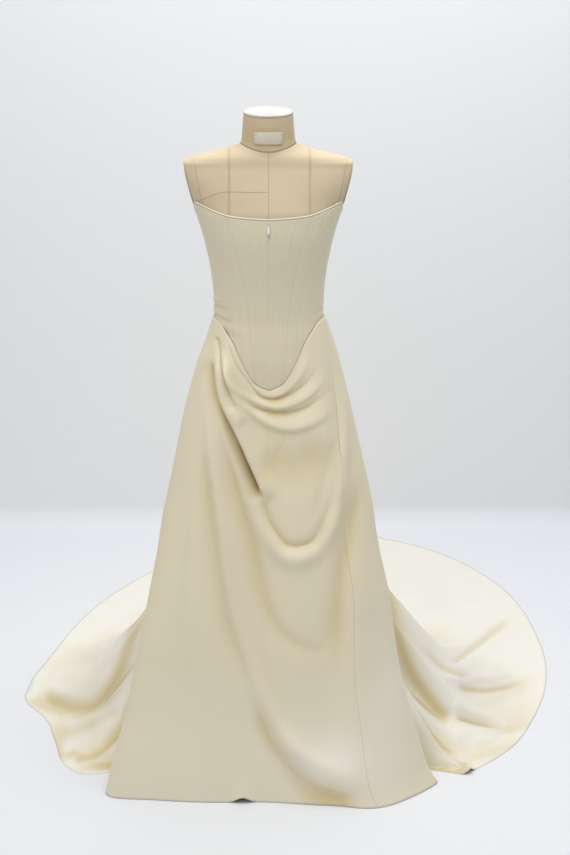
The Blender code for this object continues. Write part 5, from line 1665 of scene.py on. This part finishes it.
def add_node(tree, kind, **values):
    node = tree.nodes.new(kind)
    for key, value in values.items():
        if key in node.inputs:
            node.inputs[key].default_value = value
        else:
            setattr(node, key, value)
    return node


def group_node(tree, group, **values):
    node = tree.nodes.new("ShaderNodeGroup")
    node.node_tree = group
    for key, value in values.items():
        node.inputs[key.replace("_", " ")].default_value = value
    return node


def new_group(name, inputs, outputs):
    """A shader group with its sockets, and its input and output nodes."""
    group = bpy.data.node_groups.new(name, "ShaderNodeTree")
    for socket, kind, value in inputs:
        made = group.interface.new_socket(name=socket, in_out="INPUT", socket_type=kind)
        if value is not None:
            made.default_value = value
    for socket, kind in outputs:
        group.interface.new_socket(name=socket, in_out="OUTPUT", socket_type=kind)
    return group, group.nodes.new("NodeGroupInput"), group.nodes.new("NodeGroupOutput")


def math_node(tree, operation, a, b=None, clamp=False):
    node = tree.nodes.new("ShaderNodeMath")
    node.operation = operation
    node.use_clamp = clamp
    for i, value in enumerate((a, b)):
        if value is None:
            continue
        if isinstance(value, (int, float)):
            node.inputs[i].default_value = value
        else:
            tree.links.new(value, node.inputs[i])
    return node.outputs[0]


def weave_group():
    """Threads that cross, as a height, with the small uneven tone of spun yarn."""
    group, given, result = new_group(
        "woven_threads",
        [
            ("Vector", "NodeSocketVector", None),
            ("Threads per metre", "NodeSocketFloat", 2600.0),
            ("Float", "NodeSocketFloat", 3.0),
            ("Slub", "NodeSocketFloat", 0.3),
        ],
        [("Height", "NodeSocketFloat"), ("Tone", "NodeSocketFloat")],
    )
    links = group.links
    split = group.nodes.new("ShaderNodeSeparateXYZ")
    links.new(given.outputs["Vector"], split.inputs[0])
    turn = math_node(group, "MULTIPLY", given.outputs["Threads per metre"], 2 * math.pi)
    across = math_node(group, "MULTIPLY", split.outputs[0], turn)
    down = math_node(group, "MULTIPLY", split.outputs[1], turn)
    deep = math_node(group, "MULTIPLY", split.outputs[2], turn)
    warp = math_node(group, "SINE", math_node(group, "ADD", across, math_node(group, "MULTIPLY", deep, 0.5)))
    down = math_node(group, "ADD", down, math_node(group, "MULTIPLY", deep, 1.0))
    weft = math_node(group, "SINE", math_node(group, "DIVIDE", down, given.outputs["Float"]))
    threads = math_node(group, "MULTIPLY", math_node(group, "ADD", warp, weft), 0.25)
    stretch = group.nodes.new("ShaderNodeMapping")
    stretch.inputs["Scale"].default_value = (900, 60, 900)
    links.new(given.outputs["Vector"], stretch.inputs["Vector"])
    slub = add_node(group, "ShaderNodeTexNoise", Scale=1.0, Detail=2.0)
    links.new(stretch.outputs[0], slub.inputs["Vector"])
    uneven = math_node(group, "MULTIPLY", math_node(group, "SUBTRACT", slub.outputs[0], 0.5), given.outputs["Slub"])
    height = math_node(group, "ADD", math_node(group, "ADD", threads, 0.5), uneven)
    broad = add_node(group, "ShaderNodeTexNoise", Scale=9.0, Detail=4.0)
    links.new(given.outputs["Vector"], broad.inputs["Vector"])
    tone = math_node(group, "ADD", math_node(group, "MULTIPLY", broad.outputs[0], 0.7), math_node(group, "MULTIPLY", uneven, 1.0))
    links.new(height, result.inputs["Height"])
    links.new(tone, result.inputs["Tone"])
    return group


def brushed_group():
    """Fine scratches and a broad tone for metal, painted metal and smooth plastic."""
    group, given, result = new_group(
        "fine_scratches",
        [
            ("Vector", "NodeSocketVector", None),
            ("Scale", "NodeSocketFloat", 400.0),
            ("Stretch", "NodeSocketFloat", 0.05),
        ],
        [("Scratch", "NodeSocketFloat"), ("Tone", "NodeSocketFloat")],
    )
    links = group.links
    split = group.nodes.new("ShaderNodeSeparateXYZ")
    join = group.nodes.new("ShaderNodeCombineXYZ")
    links.new(given.outputs["Vector"], split.inputs[0])
    links.new(math_node(group, "MULTIPLY", split.outputs[0], given.outputs["Scale"]), join.inputs[0])
    links.new(math_node(group, "MULTIPLY", split.outputs[1], given.outputs["Scale"]), join.inputs[1])
    shrunk = math_node(group, "MULTIPLY", given.outputs["Scale"], given.outputs["Stretch"])
    links.new(math_node(group, "MULTIPLY", split.outputs[2], shrunk), join.inputs[2])
    fine = add_node(group, "ShaderNodeTexNoise", Scale=1.0, Detail=3.0)
    links.new(join.outputs[0], fine.inputs["Vector"])
    broad = add_node(group, "ShaderNodeTexNoise", Scale=24.0, Detail=3.0)
    links.new(given.outputs["Vector"], broad.inputs["Vector"])
    links.new(fine.outputs[0], result.inputs["Scratch"])
    links.new(broad.outputs[0], result.inputs["Tone"])
    return group


def linked_bump(tree, height, shader, strength, distance):
    bump = add_node(tree, "ShaderNodeBump", Strength=strength, Distance=distance)
    tree.links.new(height, bump.inputs["Height"])
    tree.links.new(bump.outputs[0], shader.inputs["Normal"])


def between(tree, factor, low, high, socket):
    """A value that runs from low to high with the factor, into a socket."""
    spread = add_node(tree, "ShaderNodeMapRange")
    spread.inputs["To Min"].default_value = low
    spread.inputs["To Max"].default_value = high
    tree.links.new(factor, spread.inputs["Value"])
    tree.links.new(spread.outputs[0], socket)


def two_tone(tree, factor, dark, light):
    mix = tree.nodes.new("ShaderNodeMix")
    mix.data_type = "RGBA"
    mix.inputs[6].default_value = (*dark, 1)
    mix.inputs[7].default_value = (*light, 1)
    tree.links.new(factor, mix.inputs[0])
    return mix


def satin_material(name, settings, weave):
    """Satin-backed crepe: fine floats that shine softly, with painted shade, darker and warmer, deep in its folds and
    on its upright cloth.
    """
    material, tree, shader = new_material(name)
    cloth = add_node(tree, "ShaderNodeUVMap", uv_map="cloth")
    threads = group_node(tree, weave, Threads_per_metre=1500.0, Float=2.0, Slub=0.35)
    tree.links.new(cloth.outputs[0], threads.inputs["Vector"])
    colour = Vector(settings.satin_colour)
    tone = two_tone(tree, threads.outputs["Tone"], colour * 0.965, colour * 1.03)
    # Painted shade: the hollow attribute mixes the shade colour into the satin's colour
    hollow = add_node(tree, "ShaderNodeAttribute", attribute_name="hollow")
    painted_shade_mix = tree.nodes.new("ShaderNodeMix")
    painted_shade_mix.data_type = "RGBA"
    painted_shade_mix.inputs[7].default_value = (*settings.painted_shade_colour, 1)
    tree.links.new(math_node(tree, "MULTIPLY", hollow.outputs["Fac"], 0.85, True), painted_shade_mix.inputs[0])
    tree.links.new(tone.outputs[2], painted_shade_mix.inputs[6])
    tree.links.new(painted_shade_mix.outputs[2], shader.inputs["Base Color"])
    between(tree, threads.outputs["Tone"], 0.40, 0.50, shader.inputs["Roughness"])
    edge = add_node(tree, "ShaderNodeAttribute", attribute_name="from_hem")
    away = math_node(tree, "DIVIDE", math_node(tree, "SUBTRACT", edge.outputs["Fac"], settings.hem_depth), HEM_LINE_WIDTH)
    groove = math_node(tree, "EXPONENT", math_node(tree, "MULTIPLY", math_node(tree, "MULTIPLY", away, away), -1.0))
    height = math_node(tree, "SUBTRACT", threads.outputs["Height"], math_node(tree, "MULTIPLY", groove, 3.0))
    linked_bump(tree, height, shader, 0.18, 0.00012)
    shader.inputs["Sheen Weight"].default_value = 0.18
    shader.inputs["Sheen Roughness"].default_value = 0.35
    shader.inputs["Sheen Tint"].default_value = (1.0, 0.97, 0.90, 1)
    shader.inputs["Specular IOR Level"].default_value = 0.42
    return material


def thread_material(name, settings, weave):
    material, tree, shader = new_material(name)
    place = add_node(tree, "ShaderNodeTexCoord")
    threads = group_node(tree, weave, Threads_per_metre=3200.0, Float=1.0, Slub=0.4)
    tree.links.new(place.outputs["Object"], threads.inputs["Vector"])
    colour = Vector(settings.satin_colour)
    tone = two_tone(tree, threads.outputs["Tone"], colour * 0.80, colour * 0.98)
    tree.links.new(tone.outputs[2], shader.inputs["Base Color"])
    between(tree, threads.outputs["Tone"], 0.5, 0.7, shader.inputs["Roughness"])
    linked_bump(tree, threads.outputs["Height"], shader, 0.4, 0.0001)
    return material


def linen_material(name, colour, weave, dark=0.86):
    """Natural linen: an open plain weave with slubs, a little brown in tone."""
    material, tree, shader = new_material(name)
    place = add_node(tree, "ShaderNodeTexCoord")
    threads = group_node(tree, weave, Threads_per_metre=900.0, Float=1.0, Slub=0.9)
    tree.links.new(place.outputs["Object"], threads.inputs["Vector"])
    tone = two_tone(tree, threads.outputs["Tone"], Vector(colour) * dark, Vector(colour) * 1.08)
    fleck = add_node(tree, "ShaderNodeTexNoise", Scale=160.0, Detail=3.0)
    tree.links.new(place.outputs["Object"], fleck.inputs["Vector"])
    specks = add_node(tree, "ShaderNodeMapRange")
    specks.inputs["From Min"].default_value = 0.66
    specks.inputs["From Max"].default_value = 0.78
    specks.inputs["To Max"].default_value = 0.35
    tree.links.new(fleck.outputs[0], specks.inputs["Value"])
    spotted = tree.nodes.new("ShaderNodeMix")
    spotted.data_type = "RGBA"
    spotted.inputs[7].default_value = (*(Vector(colour) * 0.6), 1)
    tree.links.new(specks.outputs[0], spotted.inputs[0])
    tree.links.new(tone.outputs[2], spotted.inputs[6])
    tree.links.new(spotted.outputs[2], shader.inputs["Base Color"])
    between(tree, threads.outputs["Tone"], 0.78, 0.92, shader.inputs["Roughness"])
    linked_bump(tree, threads.outputs["Height"], shader, 0.35, 0.0004)
    shader.inputs["Sheen Weight"].default_value = 0.12
    shader.inputs["Sheen Roughness"].default_value = 0.5
    return material


def hard_material(name, group, dark, light, rough, metallic=0.0, scale=400.0, stretch=0.05, bump=0.1, coat=0.0):
    """Metal, paint or plastic with fine scratches in its gloss."""
    material, tree, shader = new_material(name)
    place = add_node(tree, "ShaderNodeTexCoord")
    marks = group_node(tree, group, Scale=scale, Stretch=stretch)
    tree.links.new(place.outputs["Object"], marks.inputs["Vector"])
    tone = two_tone(tree, marks.outputs["Tone"], dark, light)
    tree.links.new(tone.outputs[2], shader.inputs["Base Color"])
    between(tree, marks.outputs["Scratch"], rough[0], rough[1], shader.inputs["Roughness"])
    linked_bump(tree, marks.outputs["Scratch"], shader, bump, 0.0003)
    shader.inputs["Metallic"].default_value = metallic
    shader.inputs["Coat Weight"].default_value = coat
    shader.inputs["Coat Roughness"].default_value = 0.12
    return material


def pearl_finish(name, group):
    material = hard_material(
        name, group, (0.80, 0.76, 0.70), (0.93, 0.92, 0.90), (0.14, 0.24), scale=900.0, stretch=1.0, bump=0.03, coat=0.8
    )
    shader = material.node_tree.nodes["Principled BSDF"]
    shader.inputs["Sheen Weight"].default_value = 0.3
    shader.inputs["Sheen Tint"].default_value = (1.0, 0.88, 0.86, 1)
    return material


def crystal_finish(name, group):
    material = hard_material(
        name, group, (0.93, 0.93, 0.90), (1.0, 1.0, 0.98), (0.02, 0.06), scale=1200.0, stretch=1.0, bump=0.02
    )
    shader = material.node_tree.nodes["Principled BSDF"]
    shader.inputs["Transmission Weight"].default_value = 0.92
    shader.inputs["IOR"].default_value = 1.56
    return material


def wood_material(name):
    """Varnished board with its growth rings."""
    material, tree, shader = new_material(name)
    place = add_node(tree, "ShaderNodeTexCoord")
    stretch = add_node(tree, "ShaderNodeMapping")
    stretch.inputs["Scale"].default_value = (1.0, 0.12, 1.0)
    tree.links.new(place.outputs["Object"], stretch.inputs["Vector"])
    rings = add_node(tree, "ShaderNodeTexWave", wave_type="BANDS", Scale=22.0, Distortion=7.0, Detail=3.0)
    tree.links.new(stretch.outputs[0], rings.inputs["Vector"])
    tone = two_tone(tree, rings.outputs["Fac"], (0.30, 0.19, 0.10), (0.52, 0.36, 0.21))
    tree.links.new(tone.outputs[2], shader.inputs["Base Color"])
    between(tree, rings.outputs["Fac"], 0.38, 0.55, shader.inputs["Roughness"])
    linked_bump(tree, rings.outputs["Fac"], shader, 0.15, 0.0005)
    shader.inputs["Coat Weight"].default_value = 0.4
    return material


def studio_material(name, colour):
    """Matt painted floor and wall, a little uneven, and clear from behind and below."""
    material, tree, shader = new_material(name)
    place = add_node(tree, "ShaderNodeTexCoord")
    broad = add_node(tree, "ShaderNodeTexNoise", Scale=0.7, Detail=3.0)
    fine = add_node(tree, "ShaderNodeTexNoise", Scale=260.0, Detail=2.0)
    tree.links.new(place.outputs["Object"], broad.inputs["Vector"])
    tree.links.new(place.outputs["Object"], fine.inputs["Vector"])
    tone = two_tone(tree, broad.outputs[0], Vector(colour) * 0.985, Vector(colour) * 1.01)
    tree.links.new(tone.outputs[2], shader.inputs["Base Color"])
    between(tree, fine.outputs[0], 0.55, 0.75, shader.inputs["Roughness"])
    linked_bump(tree, fine.outputs[0], shader, 0.03, 0.0005)
    shader.inputs["Specular IOR Level"].default_value = 0.25
    side = tree.nodes.new("ShaderNodeNewGeometry")
    clear = tree.nodes.new("ShaderNodeBsdfTransparent")
    painted = tree.nodes.new("ShaderNodeMixShader")
    tree.links.new(side.outputs["Backfacing"], painted.inputs[0])
    tree.links.new(shader.outputs[0], painted.inputs[1])
    tree.links.new(clear.outputs[0], painted.inputs[2])
    tree.links.new(painted.outputs[0], tree.nodes["Material Output"].inputs["Surface"])
    return material


# Stage


def studio_sheet(settings):
    """Floor and wall as one sheet with a curved foot behind the train."""
    wall_y, cove, top = 1.53, 0.07, 4.2
    outline = [(-5.5, 0.0)]
    for step in range(25):
        turn = math.radians(90 * step / 24)
        outline.append((wall_y - cove + cove * math.sin(turn), cove - cove * math.cos(turn)))
    outline.append((wall_y, top))
    points, faces = [], []
    for x in np.linspace(-5.0, 5.0, 5):
        points += [(x, y, z) for y, z in outline]
    size = len(outline)
    for i in range(4):
        for j in range(size - 1):
            faces.append((i * size + j, (i + 1) * size + j, (i + 1) * size + j + 1, i * size + j + 1))
    sheet = mesh_piece("studio_floor_and_wall", points, faces)
    sheet.data.materials.append(studio_material("matt_floor_paint", settings.floor_colour))
    sheet.data.materials.append(studio_material("matt_wall_paint", settings.wall_colour))
    for face in sheet.data.polygons:
        face.material_index = int(face.center.z > cove * 0.5)


def area_light(name, power, size, place, aim, colour):
    lamp = bpy.data.lights.new(name, "AREA")
    lamp.energy = power
    lamp.shape = "RECTANGLE"
    lamp.size, lamp.size_y = size
    lamp.color = colour
    obj = bpy.data.objects.new(name, lamp)
    bpy.context.scene.collection.objects.link(obj)
    obj.location = place
    obj.rotation_euler = (Vector(aim) - Vector(place)).to_track_quat("-Z", "Y").to_euler()


# Operators


def finishes():
    """The shader groups, made once."""
    found = bpy.data.node_groups.get("woven_threads"), bpy.data.node_groups.get("fine_scratches")
    return found[0] or weave_group(), found[1] or brushed_group()


def named_material(name, make):
    return bpy.data.materials.get(name) or make()


class DRESS_OT_skirt(bpy.types.Operator):
    """Build the draped skirt and its train"""

    bl_idname = "dress.skirt"
    bl_label = "Draped skirt and train"

    def execute(self, context):
        settings = context.scene.dress_settings
        weave, _ = finishes()
        satin = named_material("ivory_satin", lambda: satin_material("ivory_satin", settings, weave))
        thread = named_material("ivory_thread", lambda: thread_material("ivory_thread", settings, weave))
        made = skirt_sheets(settings, satin)
        rows = []
        for piece, size, outer in made:
            down = run_down(outer)
            left = down[-1] - down
            row = np.abs(left - settings.hem_depth).argmin(axis=0)
            pick = np.arange(outer.shape[1])
            normal = grid_normals(outer)
            rows.append((outer[row, pick] + normal[row, pick] * 0.0001, normal[row, pick]))
        stitches = stitch_rows("hem_stitches", rows, 0.0022, 0.00034, 0.0085, thread)
        return {"FINISHED"}


class DRESS_OT_bodice(bpy.types.Operator):
    """Build the boned bodice with its rolled neckline"""

    bl_idname = "dress.bodice"
    bl_label = "Boned bodice"

    def execute(self, context):
        settings = context.scene.dress_settings
        weave, _ = finishes()
        satin = named_material("ivory_satin", lambda: satin_material("ivory_satin", settings, weave))
        roll = tube("rolled_neckline", neckline_path(), EDGE_ROLL_RADIUS, sides=16)
        # Painted shade: the roll takes an even share of the satin's shade colour
        roll_shade_attribute = roll.data.attributes.new("hollow", "FLOAT", "POINT")
        roll_shade_attribute.data.foreach_set("value", [ROLL_PAINTED_SHADE] * len(roll.data.vertices))
        roll.data.materials.append(satin)
        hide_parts("neckline_roll")
        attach(roll, "root")
        for name, low, top, columns in bodice_panels():
            piece, (width, length, area) = bodice_sheet(f"satin_{name}", low, top, columns, settings, satin)
        return {"FINISHED"}


class DRESS_OT_form(bpy.types.Operator):
    """Build the linen dress form with its cap, armhole plates and bare neck plate"""

    bl_idname = "dress.form"
    bl_label = "Dress form"

    def execute(self, context):
        settings = context.scene.form_settings
        weave, scratches = finishes()
        linen = linen_material("natural_linen", settings.linen_colour, weave)
        cord = linen_material("seam_cord", Vector(settings.linen_colour) * 0.60, weave)
        white = hard_material(
            "white_painted_cap", scratches, (0.42, 0.41, 0.385), (0.68, 0.67, 0.63), (0.5, 0.7), scale=90.0, stretch=1.0, bump=0.6
        )
        card = hard_material(
            "pale_bare_plate", scratches, (0.60, 0.54, 0.42), (0.71, 0.65, 0.53), (0.35, 0.55), scale=700.0, stretch=1.0, bump=0.05
        )
        steel = hard_material(
            "satin_steel", scratches, (0.50, 0.51, 0.53), (0.62, 0.63, 0.65), (0.26, 0.44), metallic=1.0, scale=600.0
        )
        form_body(settings, linen)
        # Painted shade on the neck, darker and warmer under the cap
        neck_shade_colour = Vector(settings.linen_colour) * Vector(NECK_PAINTED_SHADE)
        form_neck_piece(linen_material("browned_linen", neck_shade_colour, weave))
        linen_seams(settings, cord)
        neck_cap(white)
        arm_plates(linen)
        bare_plate(card, steel)
        return {"FINISHED"}


class DRESS_OT_stand(bpy.types.Operator):
    """Build the hidden stand: pole, collar, foot plate and board"""

    bl_idname = "dress.stand"
    bl_label = "Stand"

    def execute(self, context):
        _, scratches = finishes()
        steel = named_material(
            "satin_steel",
            lambda: hard_material("satin_steel", scratches, (0.50, 0.51, 0.53), (0.62, 0.63, 0.65), (0.26, 0.44), 1.0, 600.0),
        )
        stand_pieces(steel, wood_material("varnished_board"))
        return {"FINISHED"}


class DRESS_OT_pendant(bpy.types.Operator):
    """Build the drop pearl, its rings and the cut crystal"""

    bl_idname = "dress.pendant"
    bl_label = "Drop pearl"

    def execute(self, context):
        _, scratches = finishes()
        steel = hard_material(
            "bright_silver_wire", scratches, (0.70, 0.70, 0.70), (0.85, 0.85, 0.85), (0.12, 0.26), metallic=1.0, scale=900.0
        )
        pendant_pieces(steel, pearl_finish("pearl_lustre", scratches), crystal_finish("clear_crystal", scratches))
        return {"FINISHED"}


class DRESS_OT_zip(bpy.types.Operator):
    """Build the zip's slider, pull tab and closed coil"""

    bl_idname = "dress.zip"
    bl_label = "Back zip"

    def execute(self, context):
        _, scratches = finishes()
        enamel = hard_material(
            "ivory_enamel", scratches, (0.74, 0.70, 0.60), (0.82, 0.78, 0.68), (0.30, 0.46), scale=900.0, stretch=1.0, coat=0.3
        )
        zip_pieces(enamel)
        zip_coil(enamel)
        return {"FINISHED"}


class DRESS_OT_stage(bpy.types.Operator):
    """Set the floor, wall, lights and camera"""

    bl_idname = "dress.stage"
    bl_label = "Studio stage"

    def execute(self, context):
        settings = context.scene.stage_settings
        studio_sheet(settings)
        area_light("softbox_overhead", settings.top_power, (3.6, 3.0), (0.22, -0.2, 3.4), (0.0, 0.1, 0.0), (1.0, 0.995, 0.985))
        area_light("front_softbox", settings.front_power, (3.0, 2.2), (-2.0, -3.8, 2.5), (0, 0, 0.7), (1.0, 0.96, 0.88))
        world = bpy.data.worlds.new("white_room")
        world.use_nodes = True
        world.node_tree.nodes["Background"].inputs["Color"].default_value = (0.95, 0.97, 1.0, 1)
        world.node_tree.nodes["Background"].inputs["Strength"].default_value = settings.room_light
        context.scene.world = world
        lens = bpy.data.cameras.new("front_camera")
        lens.lens = 60.0
        camera = bpy.data.objects.new("front_camera", lens)
        context.scene.collection.objects.link(camera)
        camera.location = CAMERA_PLACE
        camera.rotation_euler = (math.pi / 2 + CAMERA_PITCH, 0, CAMERA_PAN)
        context.scene.camera = camera
        context.scene.view_settings.view_transform = "Standard"
        return {"FINISHED"}


class VIEW3D_PT_dress(bpy.types.Panel):
    """Sizes, colours and build steps of the dress"""

    bl_label = "Wedding dress"
    bl_space_type = "VIEW_3D"
    bl_region_type = "UI"
    bl_category = "Dress"

    def draw(self, context):
        scene = context.scene
        for settings in (scene.dress_settings, scene.form_settings, scene.stage_settings):
            box = self.layout.box()
            for name in settings.__annotations__:
                box.prop(settings, name)
        for operator in OPERATORS:
            self.layout.operator(operator.bl_idname)


OPERATORS = (
    DRESS_OT_skirt,
    DRESS_OT_bodice,
    DRESS_OT_form,
    DRESS_OT_stand,
    DRESS_OT_pendant,
    DRESS_OT_zip,
    DRESS_OT_stage,
)
CLASSES = (DressSettings, FormSettings, StageSettings, *OPERATORS, VIEW3D_PT_dress)


def register():
    for cls in CLASSES:
        bpy.utils.register_class(cls)
    bpy.types.Scene.dress_settings = bpy.props.PointerProperty(type=DressSettings)
    bpy.types.Scene.form_settings = bpy.props.PointerProperty(type=FormSettings)
    bpy.types.Scene.stage_settings = bpy.props.PointerProperty(type=StageSettings)


def unregister():
    del bpy.types.Scene.stage_settings
    del bpy.types.Scene.form_settings
    del bpy.types.Scene.dress_settings
    for cls in reversed(CLASSES):
        bpy.utils.unregister_class(cls)


def main():
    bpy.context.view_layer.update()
    register()
    for operator in OPERATORS:
        group, name = operator.bl_idname.split(".")
        getattr(getattr(bpy.ops, group), name)()


if __name__ == "__main__":
    main()
